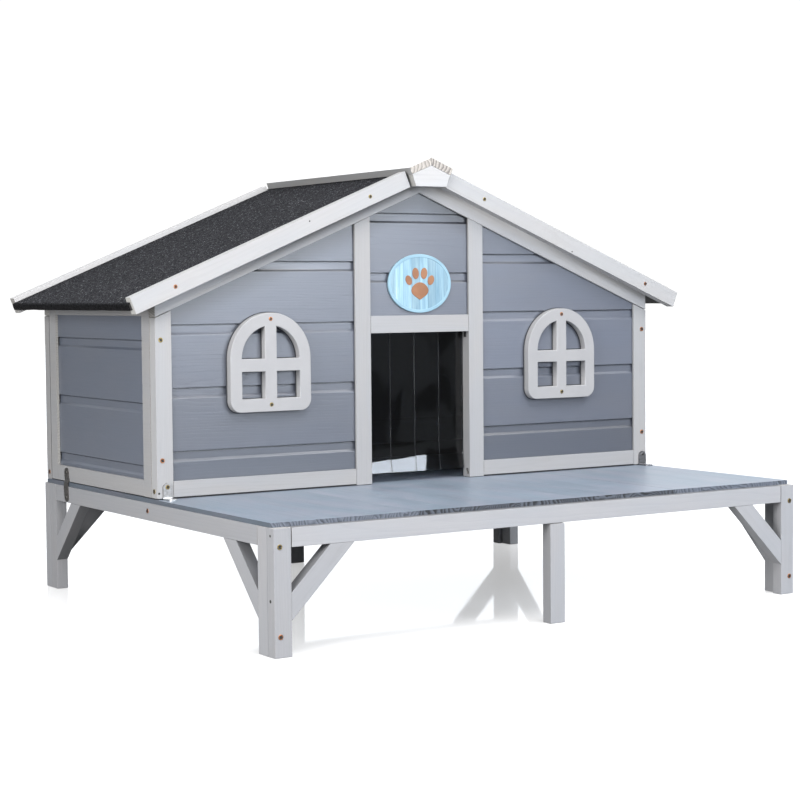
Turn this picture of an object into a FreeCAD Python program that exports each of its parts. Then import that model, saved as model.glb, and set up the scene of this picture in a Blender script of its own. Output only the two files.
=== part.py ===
import FreeCAD, Part
import math
import os

# Raised wooden cat house: a gabled house of framed board panels stands on the rear half of a
# deck, which lies on a knock-down stand.  Millimetres, +Z up, the front faces -Y.
# The drawing below is laid out with y = 0 on the stand's front face and is moved at the end,
# so that the origin lies under the middle of the overall box, on the floor.

V = FreeCAD.Vector

# ---------------------------------------------------------------- driving dimensions
LW = 28.0            # lumber width
LT = 20.0            # lumber thickness

STAND_W = 1000.0     # stand, left to right
STAND_D = 830.0      # stand, front to back
STAND_H = 184.0      # stand, floor to top of rails
BRACE_IN = 64.5      # corner to the brace's inner edge, along rail and leg
BRACE_OUT = 105.0    # corner to the brace's outer edge
BEARER_Y = 400.0     # front face of the cross bearer below the deck

DECK_T = 7.0         # deck board thickness
DECK_X = 498.0       # half width of the deck
DECK_Y0 = 12.0       # front edge of the deck
DECK_Y1 = 824.0      # rear edge of the deck
DECK_GAP = 0.6       # gap between deck panels

HOUSE_X = 497.0      # half width of the house
HOUSE_Y0 = 379.0     # front face of the front panel
HOUSE_Y1 = 826.0     # rear face of the back panel
DOOR_X = 100.0       # half width of the doorway
JAMB_W = 30.0        # width of the door jambs
LINTEL_Z0 = 445.0    # underside of the lintel
LINTEL_Z1 = 474.0    # top of the lintel
SLOPE = 0.409        # roof rise over run
RAKE_Z = 681.0       # underside of the rake rails, carried to the middle
ROOF_Z = 712.0       # underside of the roof boards, carried to the middle

RECESS = 5.0         # wall boards lie this far behind the frame's face
BOARD_T = 10.0       # wall board thickness
BOARD_P = 100.0      # wall board pitch
GROOVE = 6.0         # depth of the grooves in the frames that hold the boards
TONGUE = 5.4         # boards reach this far into the grooves
SLACK = 0.4          # play between board and groove, each face
CHAN_H = 15.0        # shiplap channel height
CHAN_D = 3.2         # shiplap channel depth
CHAN_C = 1.9         # half height of the channel's lower chamfer
SLOT_H = 1.8         # open joint under the upper board, height
SLOT_D = 6.0         # its depth from the boards' face
LEFT_G = 265.5       # channel tops: front left panel
RIGHT_G = 278.5      # front right panel
GABLE_G = 546.5      # gable panel over the door
SIDE_G = 241.0       # side panels

ROOF_T = 10.0        # roof board thickness
FELT_T = 2.0         # mineral felt thickness
EAVE_X = 546.0       # eave end of the roof boards, underside
ROOF_Y0 = 360.3      # roof boards, front end in the bargeboard groove
ROOF_Y1 = 837.2      # roof boards, rear end
BARGE_Z = 703.6      # underside of the bargeboards, carried to the middle
BARGE_H = 28.0       # bargeboard height across the slope
BARGE_T = 18.0       # bargeboard thickness
BARGE_X0 = 35.8      # inner end of the bargeboards, underside
BARGE_X1 = 540.6     # outer end of the bargeboards, underside
BARGE_Y0 = 352.0     # front face of the front bargeboards
BARGE_Y1 = 850.0     # rear face of the rear bargeboards
RIDGE_Z = 738.5      # top of the ridge
RIDGE_X = 43.4       # half width of the ridge boards, outer top corner
RIDGE_T = 12.0       # ridge board thickness
RIDGE_Y0 = 342.0     # front end of the ridge
RIDGE_Y1 = 837.0     # rear end of the ridge

WIN_X = 295.5        # window frame centres, left and right of the middle
WIN_Z0 = 322.3       # underside of the window frames
WIN_SPRING = 408.2   # spring line of the arch
WIN_R = 74.15        # outer radius of the arch
WIN_RI = 53.0        # inner radius
WIN_BAR = 10.75      # half width of the upright bar
WIN_T = 13.5         # frame thickness
WIN_CORNER = 19.0    # bottom corner radius

STRIP_W = 48.7       # clear door strip width
STRIP_GAP = 0.7      # gap between strips
STRIP_T = 2.0        # strip thickness
STRIP_Z0 = 207.0     # lower edge of the strips
STRIP_PIVOT = 442.0  # line about which a strip bends
STRIP_Y = 399.2      # front face of the strips

STRAP_TILT = 7.5     # lean of the side straps, degrees

PLAQUE_RX = 64.0     # oval plaque over the door, half width
PLAQUE_RZ = 50.0     # half height
PLAQUE_Z = 528.0
PLAQUE_T = 4.0

# ---------------------------------------------------------------- derived values
CY = (0.0 + BARGE_Y1) / 2.0
DECK_Z = STAND_H + DECK_T
ANG = math.atan(SLOPE)
CA, SA = math.cos(ANG), math.sin(ANG)
RAIL_Z = STAND_H - LW


def rake(x):
    return RAKE_Z - SLOPE * abs(x)


def box(x0, x1, y0, y1, z0, z1):
    return Part.makeBox(x1 - x0, y1 - y0, z1 - z0, V(x0, y0, z0))


def prism_xz(pts, y0, y1):
    w = Part.makePolygon([V(x, y0, z) for x, z in pts] + [V(pts[0][0], y0, pts[0][1])])
    return Part.Face(w).extrude(V(0, y1 - y0, 0))


def prism_yz(pts, x0, x1):
    w = Part.makePolygon([V(x0, y, z) for y, z in pts] + [V(x0, pts[0][0], pts[0][1])])
    return Part.Face(w).extrude(V(x1 - x0, 0, 0))


def mirror(s):
    return s.mirror(V(0, 0, 0), V(1, 0, 0))


def on_slope(z0, s, h):
    """Point at distance s down the right-hand slope and h square to it, from the line's top z0."""
    return (s * CA + h * SA, z0 - s * SA + h * CA)


def write(name, solids):
    if not isinstance(solids, (list, tuple)):
        solids = [solids]
    flat = []
    for s in solids:
        flat.extend(s.Solids)
    for s in flat:
        assert s.isValid() and s.Volume > 1.0, name
    shape = flat[0] if len(flat) == 1 else Part.makeCompound(flat)
    shape = shape.copy()
    shape.translate(V(0, -CY, 0))
    shape.exportStep("parts/%s.step" % name)


os.makedirs("parts", exist_ok=True)

# ---------------------------------------------------------------- stand
HX = STAND_W / 2.0
for tag, y0 in (("front", 0.0), ("back", STAND_D - LT)):
    y1 = y0 + LT
    leg = box(HX - LW, HX, y0, y1, 0, STAND_H)
    write("stand_%s_legs" % tag, [mirror(leg), leg])
    write("stand_%s_rail" % tag, box(-HX + LW, HX - LW, y0, y1, RAIL_Z, STAND_H))
    c = HX - LW
    brace = prism_xz([(c - BRACE_IN, RAIL_Z), (c - BRACE_OUT, RAIL_Z),
                      (c, RAIL_Z - BRACE_OUT), (c, RAIL_Z - BRACE_IN)], y0, y1)
    write("stand_%s_braces" % tag, [mirror(brace), brace])
    write("stand_%s_middle_leg" % tag, box(-LW / 2, LW / 2, y0, y1, 0, RAIL_Z))

for tag, flip in (("left", True), ("right", False)):
    x0, x1 = HX - LT, HX
    ya, yb = LT + LW, STAND_D - LT - LW
    legs = [box(x0, x1, LT, ya, 0, STAND_H), box(x0, x1, yb, STAND_D - LT, 0, STAND_H)]
    rail = box(x0, x1, ya, yb, RAIL_Z, STAND_H)
    b1 = prism_yz([(ya + BRACE_IN, RAIL_Z), (ya + BRACE_OUT, RAIL_Z),
                   (ya, RAIL_Z - BRACE_OUT), (ya, RAIL_Z - BRACE_IN)], x0, x1)
    b2 = prism_yz([(yb - BRACE_IN, RAIL_Z), (yb - BRACE_OUT, RAIL_Z),
                   (yb, RAIL_Z - BRACE_OUT), (yb, RAIL_Z - BRACE_IN)], x0, x1)
    f = mirror if flip else (lambda s: s)
    write("stand_%s_legs" % tag, [f(s) for s in legs])
    write("stand_%s_rail" % tag, f(rail))
    write("stand_%s_braces" % tag, [f(b1), f(b2)])

write("stand_bearer", box(-HX + LT, HX - LT, BEARER_Y, BEARER_Y + LT, RAIL_Z, STAND_H))

# ---------------------------------------------------------------- deck, four panels side by side
edges = [-DECK_X, -DECK_X / 2, 0.0, DECK_X / 2, DECK_X]
for i, tag in enumerate(("far_left", "left", "right", "far_right")):
    a = edges[i] + (DECK_GAP / 2 if i else 0)
    b = edges[i + 1] - (DECK_GAP / 2 if i < 3 else 0)
    write("deck_panel_%s" % tag, box(a, b, DECK_Y0, DECK_Y1, STAND_H, DECK_Z))


# ---------------------------------------------------------------- wall boards
def courses(z0, z1, first):
    """Heights of the boards between z0 and z1, with a channel top at first, first + pitch, ..."""
    cuts = [z0]
    g = first
    while g < z1 - 20.0:
        if g > z0 + 8.0:
            cuts.append(g)
        g += BOARD_P
    cuts.append(z1)
    return list(zip(cuts[:-1], cuts[1:]))


def board_profile(face, back, z0, z1, top_channel):
    """Section of one shiplap board.  face and back are depths, back beyond face inward."""
    d = 1.0 if back > face else -1.0
    f, r, t = face, face + d * CHAN_D, face + d * SLOT_D
    if not top_channel:
        return [(f, z0), (f, z1), (back, z1), (back, z0)]
    return [(f, z0), (f, z1 - CHAN_H - CHAN_C), (r, z1 - CHAN_H + CHAN_C), (r, z1 - SLOT_H), (t, z1 - SLOT_H), (t, z1), (back, z1), (back, z0)]


def panel_outline(x0, x1, z0, grow):
    """Outline of a gable panel between x0 and x1 up to the rake, grown by that much on every side."""
    x0, x1, z0 = x0 - grow, x1 + grow, z0 - grow
    up = grow / CA
    pts = [(x0, z0), (x1, z0), (x1, rake(x1) + up)]
    if x0 < 0 < x1:
        pts.append((0.0, rake(0.0) + up))
    pts.append((x0, rake(x0) + up))
    return pts


def panel_groove(x0, x1, z0, face, back):
    """The space that the grooves round a gable panel take."""
    a, b = min(face, back) - SLACK, max(face, back) + SLACK
    return prism_xz(panel_outline(x0, x1, z0, GROOVE), a, b)


def front_boards(x0, x1, z0, first, face, back):
    """Boards of a gable panel between x0 and x1, cut off along the rake, with their edges in the grooves."""
    region_pts = panel_outline(x0, x1, z0, TONGUE)
    region = prism_xz(region_pts, min(face, back) - 1, max(face, back) + 1)
    zmax = max(z for _, z in region_pts)
    out = []
    cs = courses(z0 - TONGUE, zmax, first)
    for i, (a, b) in enumerate(cs):
        body = prism_yz(board_profile(face, back, a, b, i < len(cs) - 1), x0 - TONGUE, x1 + TONGUE)
        piece = body.common(region)
        out.extend(s for s in piece.Solids if s.Volume > 50.0)
    return out


# ---------------------------------------------------------------- gable panels, front and back
for tag, ya, yb in (("front", HOUSE_Y0, HOUSE_Y0 + LT), ("back", HOUSE_Y1 - LT, HOUSE_Y1)):
    s_in = HOUSE_X - LW
    stile = prism_xz([(s_in, DECK_Z), (HOUSE_X, DECK_Z), (HOUSE_X, rake(HOUSE_X)), (s_in, rake(s_in))], ya, yb)
    up = ROOF_Z - RAKE_Z
    rail = prism_xz([(0, RAKE_Z), (HOUSE_X, rake(HOUSE_X)), (HOUSE_X, rake(HOUSE_X) + up), (0, RAKE_Z + up)], ya, yb)
    if tag == "front":
        face, back = ya + RECESS, ya + RECESS + BOARD_T
        j0, j1 = DOOR_X, DOOR_X + JAMB_W
        gr = panel_groove(j1, s_in, DECK_Z + LW, face, back)
        gg = panel_groove(-j0, j0, LINTEL_Z1, face, back)
        rail, stile = rail.cut(gr).cut(gg), stile.cut(gr)
        write("front_rake_rails", [mirror(rail), rail])
        write("front_corner_stiles", [mirror(stile), stile])
        jamb = prism_xz([(j0, DECK_Z), (j1, DECK_Z), (j1, rake(j1)), (j0, rake(j0))], ya, yb).cut(gr).cut(gg)
        write("door_jambs", [mirror(jamb), jamb])
        brail = box(j1, s_in, ya, yb, DECK_Z, DECK_Z + LW).cut(gr)
        write("front_bottom_rails", [mirror(brail), brail])
        write("door_lintel", box(-j0, j0, ya, yb, LINTEL_Z0, LINTEL_Z1).cut(gg))
        write("front_left_boards", front_boards(-s_in, -j1, DECK_Z + LW, LEFT_G, face, back))
        write("front_right_boards", front_boards(j1, s_in, DECK_Z + LW, RIGHT_G, face, back))
        write("front_gable_boards", front_boards(-j0, j0, LINTEL_Z1, GABLE_G, face, back))
    else:
        face, back = yb - RECESS, yb - RECESS - BOARD_T
        m = LW / 2
        gr = panel_groove(m, s_in, DECK_Z + LW, face, back)
        gl = mirror(gr)
        rail, stile = rail.cut(gr).cut(gl), stile.cut(gr)
        write("back_rake_rails", [mirror(rail), rail])
        mid = prism_xz([(-m, DECK_Z), (m, DECK_Z), (m, rake(m)), (0, rake(0)), (-m, rake(m))], ya, yb).cut(gr).cut(gl)
        write("back_stiles", [mirror(stile), mid, stile])
        brail = box(m, s_in, ya, yb, DECK_Z, DECK_Z + LW).cut(gr)
        write("back_bottom_rails", [mirror(brail), brail])
        half = front_boards(m, s_in, DECK_Z + LW, LEFT_G, face, back)
        write("back_boards", [mirror(s) for s in half] + half)

# ---------------------------------------------------------------- side panels
SIDE_TOP = ROOF_Z - SLOPE * HOUSE_X
SIDE_RAIL = SIDE_TOP - LW - 1.5
for tag, flip in (("left", True), ("right", False)):
    f = mirror if flip else (lambda s: s)
    x0, x1 = HOUSE_X - LT, HOUSE_X
    ya, yb = HOUSE_Y0 + LT, HOUSE_Y1 - LT
    frame = [box(x0, x1, ya, ya + LW, DECK_Z, SIDE_TOP), box(x0, x1, yb - LW, yb, DECK_Z, SIDE_TOP),
             box(x0, x1, ya + LW, yb - LW, DECK_Z, DECK_Z + LW), box(x0, x1, ya + LW, yb - LW, SIDE_RAIL, SIDE_TOP)]
    face, back = x1 - RECESS, x1 - RECESS - BOARD_T
    gs = box(back - SLACK, face + SLACK, ya + LW - GROOVE, yb - LW + GROOVE, DECK_Z + LW - GROOVE, SIDE_RAIL + GROOVE)
    write("%s_side_frame" % tag, [f(s.cut(gs)) for s in frame])
    boards = []
    cs = courses(DECK_Z + LW - TONGUE, SIDE_RAIL + TONGUE, SIDE_G)
    for i, (a, b) in enumerate(cs):
        boards.append(prism_xz(board_profile(face, back, a, b, i < len(cs) - 1), ya + LW - TONGUE, yb - LW + TONGUE))
    write("%s_side_boards" % tag, [f(s) for s in boards])

# ---------------------------------------------------------------- roof
SE = EAVE_X / CA                     # length of the roof boards down the slope
up10, up12 = ROOF_T / CA, (ROOF_T + FELT_T) / CA
gx = 0.3
ra = (gx, ROOF_Z - SLOPE * gx)
rb = (EAVE_X, ROOF_Z - SLOPE * EAVE_X)
rbt = on_slope(ROOF_Z, SE, ROOF_T)
board = prism_xz([ra, rb, rbt, (gx, ra[1] + up10)], ROOF_Y0, ROOF_Y1)
felt = prism_xz([(gx, ra[1] + up10), rbt, rb, on_slope(ROOF_Z, SE + FELT_T, 0.0),
                 on_slope(ROOF_Z, SE + FELT_T, ROOF_T + FELT_T), (gx, ra[1] + up12)], ROOF_Y0, ROOF_Y1)
write("right_roof_board", board)
write("left_roof_board", mirror(board))
write("right_roof_felt", felt)
write("left_roof_felt", mirror(felt))

# grooved bargeboards: the roof's edge slides into the groove
G0 = (ROOF_Z - BARGE_Z) * CA - 0.2
G1 = G0 + ROOF_T + FELT_T + 0.4
s0, s1 = BARGE_X0 / CA, BARGE_X1 / CA


def slope_rect(a, b, h0, h1):
    return [on_slope(BARGE_Z, a, h0), on_slope(BARGE_Z, b, h0), on_slope(BARGE_Z, b, h1), on_slope(BARGE_Z, a, h1)]


fb = prism_xz(slope_rect(s0, s1, 0, BARGE_H), BARGE_Y0, BARGE_Y0 + BARGE_T)
fb = fb.cut(prism_xz(slope_rect(s0 - 1, s1 + 1, G0, G1), ROOF_Y0 - 0.3, BARGE_Y0 + BARGE_T + 1))
bb = prism_xz(slope_rect(s0, s1, 0, BARGE_H), BARGE_Y1 - BARGE_T, BARGE_Y1)
bb = bb.cut(prism_xz(slope_rect(s0 - 1, s1 + 1, G0, G1), BARGE_Y1 - BARGE_T - 1, ROOF_Y1 + 0.3))
write("front_right_bargeboard", fb)
write("front_left_bargeboard", mirror(fb))
write("back_bargeboards", [mirror(bb), bb])

# ridge: two boards in a V, a five-sided block under the front end and one between the rear bargeboards
rt = (RIDGE_X, RIDGE_Z - SLOPE * RIDGE_X)
ri = (rt[0] - RIDGE_T * SA, rt[1] - RIDGE_T * CA)
rx = 0.05
rz = RIDGE_Z - SLOPE * rx
ridge = prism_xz([(rx, rz), rt, ri, (rx, rz - RIDGE_T / CA)], RIDGE_Y0, RIDGE_Y1)
write("ridge_boards", [mirror(ridge), ridge])
under = RIDGE_Z - RIDGE_T / CA - 0.15
px = 38.3
pent = [(-31.0, 690.0), (31.0, 690.0), (px, under - SLOPE * px), (0, under), (-px, under - SLOPE * px)]
write("ridge_end_blocks", [prism_xz(pent, RIDGE_Y0 + 0.4, ROOF_Y0 - 0.4), prism_xz(pent, ROOF_Y1 + 0.6, BARGE_Y1)])

# ---------------------------------------------------------------- arched window frames on the boards
WY1 = HOUSE_Y0 + RECESS
WY0 = WY1 - WIN_T


def arc(cx, cz, r, a0, a1, y):
    am = (a0 + a1) / 2
    pts = [V(cx + r * math.cos(a), y, cz + r * math.sin(a)) for a in (a0, am, a1)]
    return Part.Arc(*pts).toShape()


def seg(x0, z0, x1, z1, y):
    return Part.LineSegment(V(x0, y, z0), V(x1, y, z1)).toShape()


def prism_edges(edges_list, y0, y1):
    w = Part.Wire(Part.__sortEdges__(edges_list))
    return Part.Face(w).extrude(V(0, y1 - y0, 0))


def window(cx):
    y, R, k, zb, zs = WY0, WIN_R, WIN_CORNER, WIN_Z0, WIN_SPRING
    outline = [arc(cx, zs, R, 0, math.pi, y), seg(cx - R, zs, cx - R, zb + k, y),
               arc(cx - R + k, zb + k, k, math.pi, 1.5 * math.pi, y), seg(cx - R + k, zb, cx + R - k, zb, y),
               arc(cx + R - k, zb + k, k, 1.5 * math.pi, 2 * math.pi, y), seg(cx + R, zb + k, cx + R, zs, y)]
    s = prism_edges(outline, WY0, WY1)
    ri_, b = WIN_RI, WIN_BAR
    a = math.acos(b / ri_)
    zt = zs + ri_ * math.sin(a)
    q = prism_edges([seg(cx + b, zs, cx + ri_, zs, y - 1), arc(cx, zs, ri_, 0, a, y - 1),
                     seg(cx + b, zt, cx + b, zs, y - 1)], WY0 - 1, WY1 + 1)
    q2 = prism_edges([seg(cx - b, zs, cx - ri_, zs, y - 1), arc(cx, zs, ri_, math.pi - a, math.pi, y - 1),
                      seg(cx - b, zt, cx - b, zs, y - 1)], WY0 - 1, WY1 + 1)
    z0, z1 = zb + 21.5, zs - 20.6
    r1 = box(cx + b, cx + ri_, WY0 - 1, WY1 + 1, z0, z1)
    r2 = box(cx - ri_, cx - b, WY0 - 1, WY1 + 1, z0, z1)
    return s.cut(Part.makeCompound([q, q2, r1, r2]))


write("left_window_frame", window(-WIN_X))
write("right_window_frame", window(WIN_X))

# ---------------------------------------------------------------- oval plaque over the door
el = Part.Ellipse(V(0, 0, 0), PLAQUE_RX, PLAQUE_RZ)
pl = Part.Face(Part.Wire([el.toShape()])).extrude(V(0, 0, PLAQUE_T))
pl.rotate(V(0, 0, 0), V(1, 0, 0), 90)
pl.translate(V(0, WY1, PLAQUE_Z))
write("door_plaque", pl)

# ---------------------------------------------------------------- clear strip curtain in the doorway
total = 4 * STRIP_W + 3 * STRIP_GAP
heads = []
for i in range(4):
    a = -total / 2 + i * (STRIP_W + STRIP_GAP)
    write("door_strip_%d" % (i + 1), box(a, a + STRIP_W, STRIP_Y, STRIP_Y + STRIP_T, STRIP_Z0, STRIP_PIVOT - 1.0))
    heads.append(box(a, a + STRIP_W, STRIP_Y, STRIP_Y + STRIP_T, STRIP_PIVOT + 2.6, LINTEL_Z1))
write("door_strip_heads", heads)
write("door_strip_batten", box(-DOOR_X - 22, DOOR_X + 22, STRIP_Y + STRIP_T + 0.1, STRIP_Y + STRIP_T + 10.1, LINTEL_Z0 + 4, LINTEL_Z1 - 2))

# ---------------------------------------------------------------- metal fixings
# joggled straps from the house's bottom rail over the deck's edge to the stand's side rail
PY, PZ, PW, PT = 731.5, 165.0, 16.0, 2.0
zx = HOUSE_X
strap = prism_xz([(HX, 158.0), (HX + PT, 158.0), (HX + PT, STAND_H + 3.5), (DECK_X + PT + 0.3, DECK_Z + 2.2), (zx + PT, DECK_Z + 5.7),
                  (zx + PT, 216.0), (zx, 216.0), (zx, DECK_Z + 3.7), (DECK_X + 0.3, DECK_Z + 1.4), (HX, STAND_H + 1.2)],
                 PY - PW / 2, PY + PW / 2)
rs = PW / 2
rounded = Part.makeBox(40, PW, 58 - PW, V(HX - 20, PY - rs, 158 + rs))
for zc in (158 + rs, 216 - rs):
    rounded = rounded.fuse(Part.makeCylinder(rs, 40, V(HX - 20, PY, zc), V(1, 0, 0)))
strap = strap.common(rounded).removeSplitter()
strap.rotate(V(0, PY, PZ), V(1, 0, 0), -STRAP_TILT)
write("side_straps", [mirror(strap), strap])


def angle_bracket(cx):
    """Angle bracket with both ends rounded."""
    y, r = HOUSE_Y0, 8.4
    up = box(cx - r, cx + r, y - 2, y, DECK_Z, DECK_Z + 26 - r).fuse(Part.makeCylinder(r, 2, V(cx, y - 2, DECK_Z + 26 - r), V(0, 1, 0)))
    out = box(cx - r, cx + r, y - 26 + r, y, DECK_Z, DECK_Z + 2).fuse(Part.makeCylinder(r, 2, V(cx, y - 26 + r, DECK_Z), V(0, 0, 1)))
    return up.fuse(out).removeSplitter()


write("corner_brackets", [angle_bracket(-481.0), angle_bracket(487.6)])
write("jamb_clip", box(DOOR_X - 1.2, DOOR_X, HOUSE_Y0 + 8, HOUSE_Y0 + 15, LINTEL_Z0 - 10, LINTEL_Z0))


# ---------------------------------------------------------------- countersunk wood screws
def screw(pos, axis, length, r_head=3.6, r_shank=1.6, proud=0.3):
    """Flush screw; axis points from the head into the wood."""
    d = V(*axis)
    p = V(*pos) - d * proud
    head = Part.makeCylinder(r_head, 0.9, p, d)
    cone = Part.makeCone(r_head, r_shank, 2.2, p + d * 0.9, d)
    shank = Part.makeCylinder(r_shank, length - 3.1, p + d * 3.1, d)
    return head.fuse(cone).fuse(shank).removeSplitter()


stand = []
for sx in (-1, 1):
    for z in (157.5, 30.0):
        stand.append(screw((sx * 490.5, 0, z), (0, 1, 0), 38))
        stand.append(screw((sx * 490.5, STAND_D, z), (0, -1, 0), 38))
    stand.append(screw((sx * HX, BEARER_Y + LT / 2, 171.5), (-sx, 0, 0), 38))
write("stand_screws", stand)

house = []
for sx in (-1, 1):
    for z in (442.0, 252.5):
        house.append(screw((sx * 487.5, HOUSE_Y0, z), (0, 1, 0), 38))
        house.append(screw((sx * 487.5, HOUSE_Y1, z), (0, -1, 0), 38))
    house.append(screw((sx * HOUSE_X, HOUSE_Y0 + 11, 203.5), (-sx, 0, 0), 38))
    house.append(screw((sx * HOUSE_X, HOUSE_Y1 - 11, 203.5), (-sx, 0, 0), 38))
    for z in (WIN_Z0 + 11.5, 472.3):
        house.append(screw((sx * WIN_X, WY0, z), (0, 1, 0), 20, r_head=3.2))
for sx in (-1, 1):
    for x in (115.5, 473.5):
        z = BARGE_Z - SLOPE * x + BARGE_H / 2 / CA
        house.append(screw((sx * x, BARGE_Y0, z), (0, 1, 0), 30, r_head=3.0))
        house.append(screw((sx * x, BARGE_Y1, z), (0, -1, 0), 30, r_head=3.0))
write("house_screws", house)

fix = []
for sx in (-1, 1):
    fix.append(screw((sx * (HX + PT), PY, PZ), (-sx, 0, 0), 16, r_head=3.2, r_shank=1.5))
    lean = math.radians(STRAP_TILT)
    fix.append(screw((sx * (HOUSE_X + PT), PY + 43.5 * math.sin(lean), PZ + 43.5 * math.cos(lean)), (-sx, 0, 0), 16, r_head=3.2, r_shank=1.5))
for cx in (-481.0, 487.6):
    fix.append(screw((cx, HOUSE_Y0 - 2, DECK_Z + 18.0), (0, 1, 0), 16, r_head=3.2, r_shank=1.5))
    fix.append(screw((cx, HOUSE_Y0 - 18.0, DECK_Z + 2), (0, 0, -1), 8.6, r_head=3.2, r_shank=1.5))
for dy, z in ((7.6, 204.6), (5.2, 199.6)):
    fix.append(screw((DOOR_X, HOUSE_Y0 + dy, z), (1, 0, 0), 20, r_head=2.3, r_shank=1.2, proud=0.2))
write("fixing_screws", fix)
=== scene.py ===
import math
import random

import bmesh
import bpy
import numpy as np
from mathutils import Matrix, Quaternion, Vector


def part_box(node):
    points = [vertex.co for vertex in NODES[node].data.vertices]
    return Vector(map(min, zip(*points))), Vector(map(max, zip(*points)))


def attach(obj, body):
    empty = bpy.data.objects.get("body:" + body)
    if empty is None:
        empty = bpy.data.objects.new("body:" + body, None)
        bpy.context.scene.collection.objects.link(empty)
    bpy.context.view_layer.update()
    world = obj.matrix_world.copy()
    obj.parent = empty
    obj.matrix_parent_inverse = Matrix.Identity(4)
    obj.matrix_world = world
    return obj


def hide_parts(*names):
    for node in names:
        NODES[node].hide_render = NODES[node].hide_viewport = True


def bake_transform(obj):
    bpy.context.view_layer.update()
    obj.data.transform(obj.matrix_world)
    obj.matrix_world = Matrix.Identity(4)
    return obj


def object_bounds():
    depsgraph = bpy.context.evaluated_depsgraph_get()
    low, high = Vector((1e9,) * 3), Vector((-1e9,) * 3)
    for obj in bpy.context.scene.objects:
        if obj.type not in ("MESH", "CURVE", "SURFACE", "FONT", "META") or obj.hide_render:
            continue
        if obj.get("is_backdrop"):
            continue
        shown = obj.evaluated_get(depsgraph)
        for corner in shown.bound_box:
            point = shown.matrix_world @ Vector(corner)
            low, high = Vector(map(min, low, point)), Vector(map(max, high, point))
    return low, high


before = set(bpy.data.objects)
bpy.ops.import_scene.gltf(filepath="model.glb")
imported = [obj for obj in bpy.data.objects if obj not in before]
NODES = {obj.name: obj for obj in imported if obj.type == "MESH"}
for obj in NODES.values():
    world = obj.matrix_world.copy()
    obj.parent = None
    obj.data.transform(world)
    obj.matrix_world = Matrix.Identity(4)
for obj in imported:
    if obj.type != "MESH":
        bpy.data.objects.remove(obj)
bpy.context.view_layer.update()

SC = bpy.context.scene
MM = 0.001
CY = 425.0            # the drawing's y = 0 lies this far in front of the origin, mm
SLOPE = 0.409
ANG = math.atan(SLOPE)
CA, SA = math.cos(ANG), math.sin(ANG)


def P(x, y, z):
    """Drawing coordinates in mm, y counted from the stand's front face, to the frame in metres."""
    return Vector((x * MM, (y - CY) * MM, z * MM))


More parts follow.
